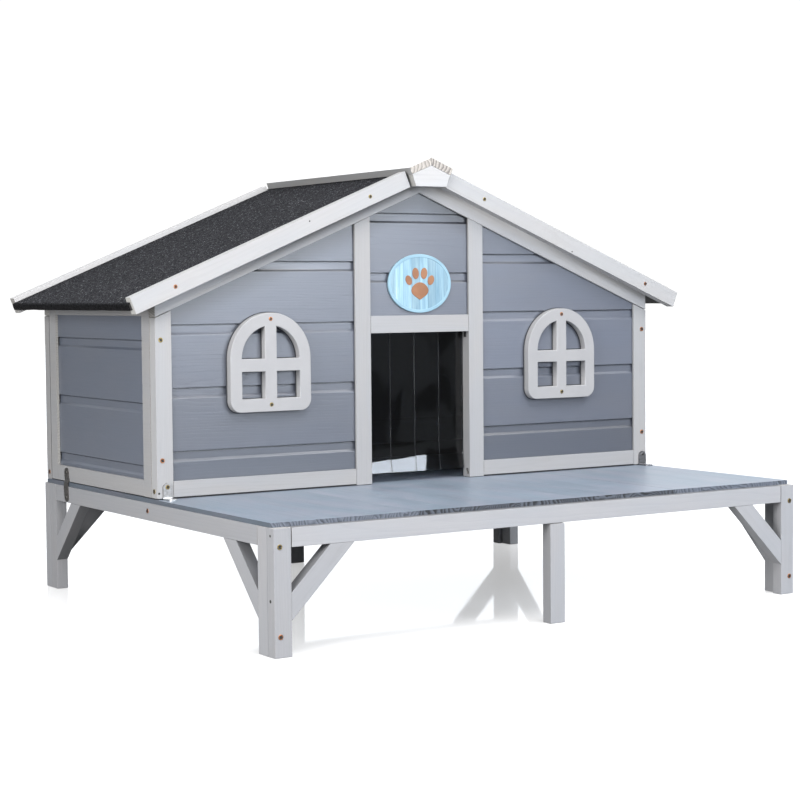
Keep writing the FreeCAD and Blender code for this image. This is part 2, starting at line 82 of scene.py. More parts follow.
# ------------------------------------------------------------------ shader helper
class Tree:
    def __init__(self, name):
        self.mat = bpy.data.materials.new(name)
        self.mat.use_nodes = True
        self.t = self.mat.node_tree
        self.t.nodes.clear()
        self.out = self.t.nodes.new("ShaderNodeOutputMaterial")

    def put(self, sock, v):
        if isinstance(v, bpy.types.NodeSocket):
            self.t.links.new(v, sock)
        elif isinstance(v, (tuple, list)) and len(v) == 3 and sock.type == "RGBA":
            sock.default_value = (*v, 1.0)
        else:
            sock.default_value = v

    def attr(self, name, out="Vector"):
        n = self.t.nodes.new("ShaderNodeAttribute")
        n.attribute_name = name
        return n.outputs[out]

    def obj(self):
        return self.t.nodes.new("ShaderNodeTexCoord").outputs["Object"]

    def normal(self):
        return self.t.nodes.new("ShaderNodeNewGeometry").outputs["Normal"]

    def m(self, op, a, b=None, c=None, clamp=False):
        n = self.t.nodes.new("ShaderNodeMath")
        n.operation = op
        n.use_clamp = clamp
        for i, v in enumerate((a, b, c)):
            if v is not None:
                self.put(n.inputs[i], v)
        return n.outputs[0]

    def v(self, op, a, b=None, scale=None):
        n = self.t.nodes.new("ShaderNodeVectorMath")
        n.operation = op
        self.put(n.inputs[0], a)
        if b is not None:
            self.put(n.inputs[1], b)
        if scale is not None:
            self.put(n.inputs["Scale"], scale)
        return n.outputs["Value" if op in ("LENGTH", "DOT_PRODUCT", "DISTANCE") else "Vector"]

    def xyz(self, a):
        n = self.t.nodes.new("ShaderNodeSeparateXYZ")
        self.put(n.inputs[0], a)
        return n.outputs

    def comb(self, x, y, z):
        n = self.t.nodes.new("ShaderNodeCombineXYZ")
        for i, k in enumerate((x, y, z)):
            self.put(n.inputs[i], k)
        return n.outputs[0]

    def noise(self, vec, scale=1.0, detail=3.0, rough=0.5, dist=0.0, out="Fac"):
        n = self.t.nodes.new("ShaderNodeTexNoise")
        self.put(n.inputs["Vector"], vec)
        for k, x in (("Scale", scale), ("Detail", detail), ("Roughness", rough), ("Distortion", dist)):
            n.inputs[k].default_value = x
        return n.outputs[out]

    def voro(self, vec, scale=1.0, feature="F1", out="Distance", rand=1.0):
        n = self.t.nodes.new("ShaderNodeTexVoronoi")
        n.feature = feature
        self.put(n.inputs["Vector"], vec)
        n.inputs["Scale"].default_value = scale
        n.inputs["Randomness"].default_value = rand
        return n.outputs[out]

    def ramp(self, fac, stops, interp="LINEAR"):
        n = self.t.nodes.new("ShaderNodeValToRGB")
        n.color_ramp.interpolation = interp
        el = n.color_ramp.elements
        while len(el) < len(stops):
            el.new(0.5)
        for e, (p, c) in zip(el, stops):
            e.position = p
            e.color = (*c, 1.0) if isinstance(c, (tuple, list)) else (c, c, c, 1.0)
        self.put(n.inputs[0], fac)
        return n.outputs[0]

    def rng(self, v, a, b, c, d, smooth=False):
        n = self.t.nodes.new("ShaderNodeMapRange")
        n.interpolation_type = "SMOOTHSTEP" if smooth else "LINEAR"
        for i, k in enumerate((v, a, b, c, d)):
            self.put(n.inputs[i], k)
        return n.outputs[0]

    def mix(self, fac, a, b, kind="MIX"):
        n = self.t.nodes.new("ShaderNodeMix")
        n.data_type = "RGBA"
        n.blend_type = kind
        self.put(n.inputs[0], fac)
        self.put(n.inputs[6], a)
        self.put(n.inputs[7], b)
        return n.outputs[2]

    def bump(self, height, strength, dist, normal=None):
        n = self.t.nodes.new("ShaderNodeBump")
        n.inputs["Strength"].default_value = strength
        n.inputs["Distance"].default_value = dist
        self.put(n.inputs["Height"], height)
        if normal is not None:
            self.put(n.inputs["Normal"], normal)
        return n.outputs[0]

    def principled(self, **kw):
        n = self.t.nodes.new("ShaderNodeBsdfPrincipled")
        for k, x in kw.items():
            self.put(n.inputs[k.replace("_", " ")], x)
        self.t.links.new(n.outputs[0], self.out.inputs["Surface"])
        return n


# ------------------------------------------------------------------ materials
def painted_wood(name, base, warm, dark, fibre=0.05, streak=0.05, ring=0.04, knots=0.0, rough=0.5,
                 end_base=None, end_dark=None, end_ring=0.25, spec=0.4, bump=0.25, spacing=0.0045, coat=0.0, end_tone=1.0, smears=0.0, eave_shadow=None):
    """Softwood under thin paint: long fibres, growth rings that cross to end grain at the cut ends, and tone by board."""
    T = Tree(name)
    g = T.attr("grain")
    pith = T.attr("pith")
    end = T.attr("endg", "Fac")
    tone = T.attr("tone", "Fac")
    # long soft streaks, then fine fibres
    s1 = T.noise(T.v("MULTIPLY", g, (4.0, 150.0, 150.0)), 1.0, 3.0, 0.55, 0.4)
    s2 = T.noise(T.v("MULTIPLY", g, (22.0, 800.0, 800.0)), 1.0, 4.0, 0.6)
    blotch = T.noise(T.v("MULTIPLY", g, (7.0, 24.0, 24.0)), 1.0, 3.0, 0.5)
    wob = T.noise(T.v("MULTIPLY", g, (9.0, 60.0, 60.0)), 1.0, 2.0, 0.5)
    p = T.xyz(pith)
    r = T.v("LENGTH", T.comb(p[0], p[1], 0.0))
    r = T.m("ADD", r, T.m("MULTIPLY", T.m("SUBTRACT", wob, 0.5), 0.006))
    slow = T.noise(T.v("MULTIPLY", g, (2.0, 30.0, 30.0)), 1.0, 2.0, 0.5)
    r = T.m("ADD", r, T.m("MULTIPLY", T.m("SUBTRACT", slow, 0.5), 0.018))
    f = T.m("FRACT", T.m("DIVIDE", r, spacing))
    late = T.m("POWER", f, 3.0)
    late = T.m("MULTIPLY", late, T.rng(f, 0.93, 1.0, 1.0, 0.0))
    # colour of the long faces
    k = T.m("MULTIPLY_ADD", T.m("SUBTRACT", s1, 0.5), streak * 2.0, 1.0)
    k = T.m("MULTIPLY_ADD", T.m("SUBTRACT", s2, 0.5), fibre * 2.0, k)
    k = T.m("SUBTRACT", k, T.m("MULTIPLY", late, ring))
    k = T.m("ADD", k, T.m("MULTIPLY", T.m("SUBTRACT", tone, 0.5), 0.10))
    col = T.mix(T.rng(blotch, 0.35, 0.75, 0.0, 1.0, True), base, warm)
    col = T.mix(T.rng(s1, 0.60, 0.80, 0.0, 0.35, True), col, dark)
    if knots > 0:
        kv = T.voro(T.v("MULTIPLY", g, (5.0, 16.0, 16.0)), 1.0)
        kn = T.rng(kv, 0.035, 0.12, 1.0, 0.0, True)
        col = T.mix(T.m("MULTIPLY", kn, knots), col, dark)
    long_col = T.v("SCALE", col, scale=k)
    # colour of the sawn ends
    eb = end_base or base
    ed = end_dark or dark
    pores = T.noise(T.v("MULTIPLY", g, (60.0, 1500.0, 1500.0)), 1.0, 2.0, 0.5)
    broad = T.m("MULTIPLY", T.m("POWER", f, 1.6), T.rng(f, 0.90, 1.0, 1.0, 0.0))
    ek = T.m("MULTIPLY", broad, T.m("MULTIPLY_ADD", tone, end_ring * 1.1, end_ring * 0.35))
    ek = T.m("ADD", ek, T.m("MULTIPLY", T.m("SUBTRACT", T.m("ADD", T.m("MULTIPLY", pores, 0.5), T.m("MULTIPLY", s1, 0.5)), 0.42), 0.8), clamp=True)
    end_col = T.mix(ek, eb, ed)
    if end_tone < 1:
        end_col = T.v("SCALE", end_col, scale=T.rng(tone, 0.25, 0.85, 1.0, end_tone))
    col = T.mix(end, long_col, end_col)
    if smears:
        # brushed-on paint: broad pale and dull patches, some drawn out along the board
        wide = T.noise(T.v("MULTIPLY", g, (5.0, 7.0, 7.0)), 1.0, 3.0, 0.55)
        drawn = T.noise(T.v("MULTIPLY", g, (1.6, 34.0, 34.0)), 1.0, 3.0, 0.6)
        sm = T.m("ADD", T.m("MULTIPLY", T.m("SUBTRACT", wide, 0.5), 1.1), T.m("MULTIPLY", T.m("SUBTRACT", drawn, 0.5), 0.9))
        col = T.v("SCALE", col, scale=T.m("MULTIPLY_ADD", T.m("MULTIPLY", sm, T.m("SUBTRACT", 1.0, end)), smears, 1.0))
        rough = T.m("MULTIPLY_ADD", sm, smears * 0.5, rough)
    if eave_shadow:
        # painted shadow under the roof's overhang: the boards are drawn darker close below the rake line, left of x =
        # 0.11 m; the tuple gives (height at the ridge, slope, from, to, strength)
        q = T.xyz(T.obj())
        below = T.m("SUBTRACT", T.m("MULTIPLY_ADD", T.m("ABSOLUTE", q[0]), -eave_shadow[1], eave_shadow[0]), q[2])
        col = T.v("SCALE", col, scale=T.m("SUBTRACT", 1.0, T.m("MULTIPLY", T.rng(below, eave_shadow[2], eave_shadow[3], eave_shadow[4], 0.0, True),
                                                         T.rng(q[0], 0.105, 0.125, 1.0, 0.0))))
    # painted shade and light from the face attribute shade: the slots of the open joints, lips, courses and faces that
    # lie in shadow are drawn darker, and a negative value draws a face lighter
    col = T.v("SCALE", col, scale=T.m("SUBTRACT", 1.0, T.attr("shade", "Fac")))
    rg = T.m("ADD", T.m("MULTIPLY_ADD", T.m("SUBTRACT", s2, 0.5), 0.22, rough), T.m("MULTIPLY", end, 0.18), clamp=True)
    h = T.m("ADD", T.m("MULTIPLY", s2, 0.6), T.m("MULTIPLY", T.m("SUBTRACT", s1, late), 0.4))
    bs = T.principled(Base_Color=col, Roughness=rg, Normal=T.bump(h, bump, 0.0006))
    bs.inputs["Specular IOR Level"].default_value = spec
    if coat:
        bs.inputs["Coat Weight"].default_value = coat
        bs.inputs["Coat Roughness"].default_value = 0.30
    return T.mat


def smooth_paint(name, base, shade, rough=0.45, spec=0.4, peel=1.0):
    """Sprayed paint on a smooth board: faint cloudiness and a fine orange peel."""
    T = Tree(name)
    c = T.obj()
    cloud = T.noise(c, 22.0, 4.0, 0.55)
    peel_h = T.noise(c, 900.0, 2.0, 0.5)
    speck = T.noise(c, 2600.0, 2.0, 0.6)
    col = T.mix(T.rng(cloud, 0.3, 0.72, 0.0, 1.0, True), base, shade)
    col = T.v("SCALE", col, scale=T.m("MULTIPLY_ADD", T.m("SUBTRACT", speck, 0.5), 0.07, 1.0))
    rg = T.m("MULTIPLY_ADD", T.m("SUBTRACT", cloud, 0.5), 0.2, rough)
    bs = T.principled(Base_Color=col, Roughness=rg, Normal=T.bump(peel_h, 0.22 * peel, 0.0004))
    bs.inputs["Specular IOR Level"].default_value = spec
    return T.mat


def felt_material():
    """Bitumen felt with mineral granules pressed into it; bare black bitumen where it turns down."""
    T = Tree("mineral_felt")
    c = T.obj()
    lay = (0.40, 0.90, 0.17)
    c = T.v("SUBTRACT", c, T.v("SCALE", lay, scale=T.m("MULTIPLY", T.v("DOT_PRODUCT", c, lay), 0.45)))
    bare = T.attr("bare", "Fac")
    cell = T.voro(c, 560.0, out="Color")
    dist = T.voro(c, 560.0)
    cell2 = T.voro(c, 1500.0, out="Color")
    dist2 = T.voro(c, 1500.0)
    a = T.xyz(cell)
    b = T.xyz(cell2)
    tonal = T.m("ADD", T.m("MULTIPLY", a[0], 0.6), T.m("MULTIPLY", b[1], 0.4))
    gran = T.ramp(tonal, [(0.0, (0.0030, 0.0032, 0.0044)), (0.42, (0.0102, 0.0107, 0.0135)), (0.64, (0.0285, 0.0293, 0.0345)),
                          (0.82, (0.0680, 0.0692, 0.0780)), (1.0, (0.205, 0.208, 0.225))])
    mott = T.noise(c, 26.0, 4.0, 0.6)
    gran = T.v("SCALE", gran, scale=T.rng(mott, 0.3, 0.7, 0.74, 0.86))
    clump = T.xyz(T.voro(c, 400.0, out="Color"))
    gran = T.v("SCALE", gran, scale=T.ramp(clump[0], [(0.0, 0.45), (0.35, 0.80), (0.70, 1.12), (0.90, 1.5), (1.0, 2.0)]))
    spark = T.m("GREATER_THAN", T.xyz(T.voro(c, 620.0, out="Color"))[2], 0.994)
    gran = T.mix(T.m("MULTIPLY", spark, 0.40), gran, (0.50, 0.50, 0.52))
    gaps = T.rng(dist, 0.45, 0.75, 0.0, 0.75, True)
    gran = T.mix(gaps, gran, (0.010, 0.010, 0.012))
    tar = T.v("SCALE", (0.003, 0.003, 0.0036), scale=T.rng(T.noise(c, 160.0, 4.0, 0.6), 0.3, 0.7, 0.6, 1.7))
    col = T.mix(bare, gran, tar)
    rg = T.m("MULTIPLY_ADD", bare, -0.30, T.rng(a[1], 0.0, 1.0, 0.72, 0.95))
    h = T.m("SUBTRACT", 1.0, T.m("ADD", T.m("MULTIPLY", dist, 0.7), T.m("MULTIPLY", dist2, 0.3)))
    h = T.m("ADD", T.m("MULTIPLY", h, T.m("SUBTRACT", 1.0, T.m("MULTIPLY", bare, 0.8))), T.m("MULTIPLY", mott, 0.5))
    bs = T.principled(Base_Color=col, Roughness=rg, Normal=T.bump(h, 0.85, 0.0012))
    bs.inputs["Specular IOR Level"].default_value = 0.08
    return T.mat


def metal(name, base, dark, rough=0.35, scratch=0.5, spangle=False):
    T = Tree(name)
    c = T.obj()
    n1 = T.noise(c, 180.0, 4.0, 0.6)
    n2 = T.noise(T.v("MULTIPLY", c, (2600.0, 2600.0, 180.0)), 1.0, 3.0, 0.5)
    f = T.rng(n1, 0.35, 0.70, 0.0, 1.0, True)
    if spangle:
        f = T.m("MULTIPLY_ADD", T.xyz(T.voro(c, 420.0, out="Color"))[0], 0.45, T.m("MULTIPLY", f, 0.55))
    col = T.mix(f, base, dark)
    rg = T.m("MULTIPLY_ADD", T.m("SUBTRACT", n1, 0.5), 0.35, rough, clamp=True)
    bs = T.principled(Base_Color=col, Roughness=rg, Normal=T.bump(n2, 0.18 * scratch, 0.0002))
    bs.inputs["Metallic"].default_value = 1.0
    return T.mat


def clear_vinyl():
    T = Tree("clear_vinyl")
    c = T.obj()
    ripple = T.noise(T.v("MULTIPLY", c, (26.0, 26.0, 7.0)), 1.0, 2.0, 0.45)
    smear = T.noise(T.v("MULTIPLY", c, (60.0, 60.0, 22.0)), 1.0, 4.0, 0.6)
    rg = T.rng(smear, 0.35, 0.75, 0.012, 0.045)
    tint = T.ramp(smear, [(0.3, (0.58, 0.60, 0.63)), (0.7, (0.62, 0.64, 0.66))])
    bs = T.principled(Base_Color=tint, Roughness=rg, Normal=T.bump(ripple, 0.012, 0.004))
    bs.inputs["Transmission Weight"].default_value = 1.0
    bs.inputs["IOR"].default_value = 1.53
    return T.mat


def cut_vinyl():
    T = Tree("cut_vinyl_edge")
    c = T.obj()
    n = T.noise(T.v("MULTIPLY", c, (900.0, 900.0, 160.0)), 1.0, 3.0, 0.5)
    col = T.ramp(n, [(0.3, (0.055, 0.057, 0.064)), (0.7, (0.10, 0.104, 0.115))])
    bs = T.principled(Base_Color=col, Roughness=T.rng(n, 0.3, 0.7, 0.35, 0.55), Normal=T.bump(n, 0.3, 0.0003))
    bs.inputs["Transmission Weight"].default_value = 0.35
    bs.inputs["IOR"].default_value = 1.46
    return T.mat


def plain_plastic(name, base, rough=0.5):
    T = Tree(name)
    c = T.obj()
    n = T.noise(c, 700.0, 3.0, 0.5)
    col = T.v("SCALE", base, scale=T.rng(n, 0.3, 0.7, 0.75, 1.3))
    T.principled(Base_Color=col, Roughness=T.rng(n, 0.3, 0.7, rough - 0.1, rough + 0.1), Normal=T.bump(n, 0.2, 0.0003))
    return T.mat


def plaque_material():
    """Thin board washed pale blue, with upright plank lines and a brushed white haze."""
    T = Tree("plaque_wash")
    c = T.xyz(T.obj())
    x, z = c[0], c[2]
    warp = T.noise(T.comb(T.m("MULTIPLY", x, 90.0), 0.0, T.m("MULTIPLY", z, 9.0)), 1.0, 3.0, 0.55)
    brush = T.noise(T.comb(T.m("MULTIPLY", x, 420.0), 0.0, T.m("MULTIPLY", z, 24.0)), 1.0, 4.0, 0.6)
    px = T.m("ADD", T.m("DIVIDE", x, 0.0165), T.m("MULTIPLY", T.m("SUBTRACT", warp, 0.5), 0.10))
    line = T.m("ABSOLUTE", T.m("SUBTRACT", T.m("FRACT", px), 0.5))
    gap = T.rng(line, 0.46, 0.495, 0.0, 1.0, True)
    plank = T.noise(T.comb(T.m("FLOOR", px), 3.7, 1.3), 2.31, 0.0, 0.5)
    col = T.ramp(T.m("ADD", T.m("MULTIPLY", warp, 0.55), T.m("MULTIPLY", brush, 0.45)),
                 [(0.30, (0.110, 0.215, 0.290)), (0.47, (0.195, 0.320, 0.400)), (0.62, (0.295, 0.425, 0.490)), (0.80, (0.500, 0.580, 0.615))])
    col = T.v("SCALE", col, scale=T.rng(plank, 0.3, 0.7, 0.80, 1.15))
    col = T.mix(T.m("MULTIPLY", gap, 0.65), col, (0.045, 0.130, 0.200))
    bs = T.principled(Base_Color=col, Roughness=T.rng(brush, 0.3, 0.7, 0.38, 0.58), Normal=T.bump(T.m("SUBTRACT", brush, gap), 0.3, 0.0004))
    bs.inputs["Specular IOR Level"].default_value = 0.4
    return T.mat


M_FRAME = painted_wood("pale_grey_frame", (0.268, 0.269, 0.276), (0.277, 0.271, 0.270), (0.223, 0.220, 0.222),
                       fibre=0.035, streak=0.04, ring=0.035, knots=0.25, rough=0.48,
                       end_base=(0.34, 0.335, 0.32), end_dark=(0.21, 0.20, 0.19), end_ring=0.75, spacing=0.0042)
# a lighter copy of the frame paint for the bargeboards and ridge end blocks: painted light
M_BARGE_LIT = painted_wood("pale_grey_bargeboard_painted_light", (0.358, 0.358, 0.364), (0.370, 0.361, 0.359), (0.298, 0.294, 0.298),
                       fibre=0.035, streak=0.04, ring=0.035, knots=0.25, rough=0.48,
                       end_base=(0.36, 0.355, 0.34), end_dark=(0.23, 0.22, 0.21), end_ring=0.75, spacing=0.0042)
M_STAND = painted_wood("pale_grey_stand", (0.267, 0.271, 0.285), (0.276, 0.274, 0.283), (0.221, 0.223, 0.234),
                       fibre=0.05, streak=0.05, ring=0.045, knots=0.30, rough=0.50,
                       end_base=(0.31, 0.305, 0.30), end_dark=(0.20, 0.19, 0.185), end_ring=0.75, spacing=0.0048)
BOARD = dict(fibre=0.035, streak=0.03, ring=0.03, rough=0.36, spec=1.0, coat=0.25,
             end_base=(0.17, 0.18, 0.21), end_dark=(0.09, 0.10, 0.115), end_ring=0.6)
# the front and back boards carry a painted shadow below the roof's edge
M_BOARD = painted_wood("blue_grey_boards", (0.0675, 0.0765, 0.1000), (0.0705, 0.0775, 0.0975), (0.0550, 0.0620, 0.0810),
                       eave_shadow=(0.7036, SLOPE, 0.016, 0.066, 0.78), **BOARD)
# a lighter copy of the board paint for the side walls: painted light
M_SIDE_LIT = painted_wood("blue_grey_side_boards_painted_light", (0.098, 0.113, 0.147), (0.102, 0.114, 0.144), (0.080, 0.092, 0.120), **BOARD)
M_DECK = painted_wood("blue_grey_deck", (0.159, 0.198, 0.244), (0.195, 0.210, 0.257), (0.118, 0.142, 0.186),
                      fibre=0.12, streak=0.12, ring=0.12, knots=0.2, rough=0.40, spec=0.5, smears=0.28,
                      end_base=(0.132, 0.150, 0.186), end_dark=(0.011, 0.013, 0.017), end_ring=1.45, spacing=0.0034, end_tone=0.60)
M_BARE = painted_wood("bare_softwood", (0.62, 0.53, 0.41), (0.66, 0.55, 0.42), (0.44, 0.33, 0.22),
                      fibre=0.10, streak=0.12, ring=0.25, knots=0.6, rough=0.65, spec=0.25,
                      end_base=(0.55, 0.46, 0.34), end_dark=(0.34, 0.25, 0.17), end_ring=0.9)
M_NEAR_BLACK_WOOD = painted_wood("near_black_roof_wood", (0.030, 0.030, 0.032), (0.036, 0.034, 0.033), (0.018, 0.018, 0.020),
                       fibre=0.14, streak=0.16, ring=0.2, knots=0.4, rough=0.6, spec=0.3,
                       end_base=(0.022, 0.022, 0.024), end_dark=(0.010, 0.010, 0.011), end_ring=0.9)
M_RIDGE = painted_wood("pale_grey_ridge", (0.670, 0.675, 0.685), (0.700, 0.685, 0.665), (0.570, 0.555, 0.535),
                       fibre=0.04, streak=0.05, ring=0.05, knots=0.2, rough=0.44,
                       end_base=(0.40, 0.372, 0.338), end_dark=(0.15, 0.135, 0.128), end_ring=1.2, spacing=0.0075)
M_WINDOW = smooth_paint("pale_grey_mdf", (0.281, 0.278, 0.282), (0.267, 0.265, 0.270))
# near-black sheets that stand in for shadow in gaps: painted shadow
M_GAP_SHADOW = plain_plastic("painted_gap_shadow", (0.022, 0.022, 0.024), 0.8)
# near-black sheet behind the window frames: painted contact shadow
M_WINDOW_SHADOW = plain_plastic("window_contact_shadow", (0.034, 0.036, 0.041), 0.8)
M_FELT = felt_material()
M_VINYL = clear_vinyl()
M_CUT = cut_vinyl()
M_COPPER = metal("copper_passivated", (0.44, 0.20, 0.10), (0.24, 0.10, 0.05), rough=0.40)
M_OLIVE = metal("yellow_passivated", (0.34, 0.26, 0.11), (0.18, 0.13, 0.05), rough=0.40)
M_ZINC_SHADED = metal("zinc_painted_shade", (0.39, 0.38, 0.37), (0.25, 0.245, 0.24), rough=0.50, spangle=True)
M_ZINC = metal("zinc_plate", (0.80, 0.81, 0.82), (0.58, 0.59, 0.60), rough=0.40, spangle=True)
M_TARN = metal("zinc_tarnished", (0.30, 0.30, 0.31), (0.17, 0.17, 0.18), rough=0.36, spangle=True)
M_DARK = metal("dark_plate", (0.235, 0.220, 0.205), (0.125, 0.120, 0.118), rough=0.42, spangle=True)
M_BLACK = plain_plastic("black_clip", (0.012, 0.012, 0.013), 0.5)
M_HOLE = plain_plastic("brad_shadow", (0.020, 0.019, 0.018), 0.8)
M_PLAQUE = plaque_material()
M_RIM = smooth_paint("plaque_rim", (0.180, 0.300, 0.375), (0.220, 0.345, 0.420), rough=0.42)
M_PAW = smooth_paint("plaque_motif", (0.20, 0.085, 0.040), (0.27, 0.125, 0.058), rough=0.42)


# ------------------------------------------------------------------ wood from the frame's own solids
def welded(node):
    bm = bmesh.new()
    bm.from_mesh(NODES[node].data)
    bmesh.ops.remove_doubles(bm, verts=bm.verts, dist=2e-6)
    bmesh.ops.dissolve_limit(bm, angle_limit=math.radians(0.3), verts=bm.verts, edges=bm.edges)
    return bm


def islands(bm):
    """Each loose solid as (points, faces)."""
    bm.verts.ensure_lookup_table()
    bm.faces.ensure_lookup_table()
    seen, out = set(), []
    for f0 in bm.faces:
        if f0.index in seen:
            continue
        stack, faces = [f0], []
        seen.add(f0.index)
        while stack:
            f = stack.pop()
            faces.append(f)
            for e in f.edges:
                for g in e.link_faces:
                    if g.index not in seen:
                        seen.add(g.index)
                        stack.append(g)
        idx, pts = {}, []
        polys = []
        for f in faces:
            poly = []
            for v in f.verts:
                if v.index not in idx:
                    idx[v.index] = len(pts)
                    pts.append(v.co.copy())
                poly.append(idx[v.index])
            polys.append(poly)
        out.append((pts, polys))
    bm.free()
    out.sort(key=lambda q: tuple(round(x, 4) for x in sum(q[0], Vector()) / len(q[0])))
    return out


class Board:
    """Collects bevelled solids with grain coordinates into one mesh."""

    def __init__(self, seed):
        self.rnd = random.Random(seed)
        self.co, self.faces = [], []
        self.grain, self.pith, self.endg, self.tone, self.shade = [], [], [], [], []

    def add(self, pts, polys, bevel, segs=2, axis=None, shrink=0.0, flat_sawn=None, sharp=30.0, edge_filter=None, tone=None,
            shade=None, rings=1.0):
        rnd = self.rnd
        bm = bmesh.new()
        vs = [bm.verts.new(p) for p in pts]
        for poly in polys:
            try:
                bm.faces.new([vs[i] for i in poly])
            except ValueError:
                pass
        bm.normal_update()
        bmesh.ops.recalc_face_normals(bm, faces=bm.faces)
        if axis is None:
            e = max(bm.edges, key=lambda q: q.calc_length())
            axis = (e.verts[1].co - e.verts[0].co).normalized()
        u = Vector(axis).normalized()
        if max(u, key=abs) < 0:
            u = -u
        big = max(bm.faces, key=lambda q: q.calc_area() * (1 - abs(q.normal.dot(u))))
        w = (big.normal - u * big.normal.dot(u)).normalized()
        v = w.cross(u)
        mid = sum((q.co for q in bm.verts), Vector()) / len(bm.verts)
        if shrink:
            t = [(q.co - mid).dot(u) for q in bm.verts]
            lo, hi = min(t), max(t)
            for q in bm.verts:
                s = (q.co - mid).dot(u)
                if s > hi - 0.06:
                    q.co -= u * min(shrink, (hi - lo) / 4)
                elif s < lo + 0.06:
                    q.co += u * min(shrink, (hi - lo) / 4)
        if bevel > 0:
            edges = [q for q in bm.edges if len(q.link_faces) == 2 and q.calc_face_angle(0) > math.radians(sharp) and q.is_convex
                     and (edge_filter is None or edge_filter(q))]
            if edges:
                bmesh.ops.bevel(bm, geom=edges, offset=bevel, segments=segs, profile=0.6, affect="EDGES", clamp_overlap=True)
        bm.normal_update()
        off = Vector((rnd.uniform(-2, 2), rnd.uniform(-2, 2), rnd.uniform(-2, 2)))
        phi = rnd.uniform(0, 2 * math.pi) if flat_sawn is None else flat_sawn + rnd.uniform(-0.5, 0.5)
        d = rnd.uniform(0.025, 0.075)
        v0, w0 = d * math.cos(phi), d * math.sin(phi)
        ta, tb = rnd.uniform(-0.02, 0.02), rnd.uniform(-0.02, 0.02)
        tone = rnd.random() if tone is None else tone
        base = len(self.co)
        bm.verts.index_update()
        for q in bm.verts:
            r = q.co - mid
            a, b, c = r.dot(u), r.dot(v), r.dot(w)
            self.co.append(q.co[:])
            self.grain.append((a + off.x, b + off.y, c + off.z))
            self.pith.append(((b - v0 - ta * a) * rings, (c - w0 - tb * a) * rings, a))
        for f in bm.faces:
            self.faces.append([base + q.index for q in f.verts])
            self.endg.append(1.0 if abs(f.normal.dot(u)) > 0.6 else 0.0)
            self.tone.append(tone)
            self.shade.append(shade(f.calc_center_median(), f.normal) if shade else 0.0)
        bm.free()

    def build(self, name, material, smooth=True, crisp=52):
        me = bpy.data.meshes.new(name)
        me.from_pydata(self.co, [], self.faces)
        for key, dom, kind, val in (("grain", "POINT", "FLOAT_VECTOR", self.grain), ("pith", "POINT", "FLOAT_VECTOR", self.pith),
                                    ("endg", "FACE", "FLOAT", self.endg), ("tone", "FACE", "FLOAT", self.tone), ("shade", "FACE", "FLOAT", self.shade)):
            at = me.attributes.new(key, kind, dom)
            at.data.foreach_set("vector" if kind == "FLOAT_VECTOR" else "value", np.array(val, np.float32).ravel())
        me.materials.append(material)
        if smooth:
            me.polygons.foreach_set("use_smooth", [True] * len(me.polygons))
        me.update()
        o = bpy.data.objects.new(name, me)
        SC.collection.objects.link(o)
        if smooth:
            me.set_sharp_from_angle(angle=math.radians(crisp))
            w = o.modifiers.new("corners", "WEIGHTED_NORMAL")
            w.weight = 100
            w.keep_sharp = True
        return o


def place(o, *nodes, body="house", slot=None):
    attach(o, body)
    if nodes:
        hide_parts(*nodes)
    return o


def wood(node, material, slot, bevel=0.9, segs=2, shrink=0.25, seed=0, lift=None, flat_sawn=None, name=None, part=(), top=0.0,
         groove=0.0, shade=None, tone=None, crisp=52, course=None):
    """The node's solids with eased arrises; lift = (z, dz) raises the points at height z by dz, part = (y, dy) moves
    those at y, top lowers the upper end, groove is the height of the band at each board's upper edge, in the slot of
    the open joint, that is painted near black as shadow, mm."""
    b = Board("%s%d" % (node, seed))
    for pts, polys in islands(welded(node)):
        if groove:
            zj = max(p.z for p in pts) - groove * MM
            # painted shade: the slot of each board's open joint near black as shadow, the sloping lips of the topmost
            # joints and of the lowest right one darker, every other face its course's painted shade or light
            shade = lambda c, n, zj=zj: (0.94 if c.z > zj else 0.0 if not course else 0.45 if n.z > 0.3 and (c.z > 0.5 or c.x > 0.11 and c.z < 0.3)
                                         else next(q for h, q in course if c.z < h * MM))
        if top:
            zm = (max(p.z for p in pts) + min(p.z for p in pts)) / 2
            pts = [Vector((p.x, p.y, p.z - top * MM)) if p.z > zm else p for p in pts]
        if lift:
            pts = [Vector((p.x, p.y, p.z + lift[1] * MM)) if abs(p.z - lift[0] * MM) < 2e-4 else p for p in pts]
        for y, dy in part:
            y0 = P(0, y, 0).y
            pts = [Vector((p.x, p.y + dy * MM, p.z)) if abs(p.y - y0) < 2e-4 else p for p in pts]
        b.add(pts, polys, bevel * MM, segs, shrink=shrink * MM, flat_sawn=flat_sawn, shade=shade, tone=tone)
    return place(b.build(name or node + "_piece", material, crisp=crisp), node, slot=slot)


DECK_Z = 191.0
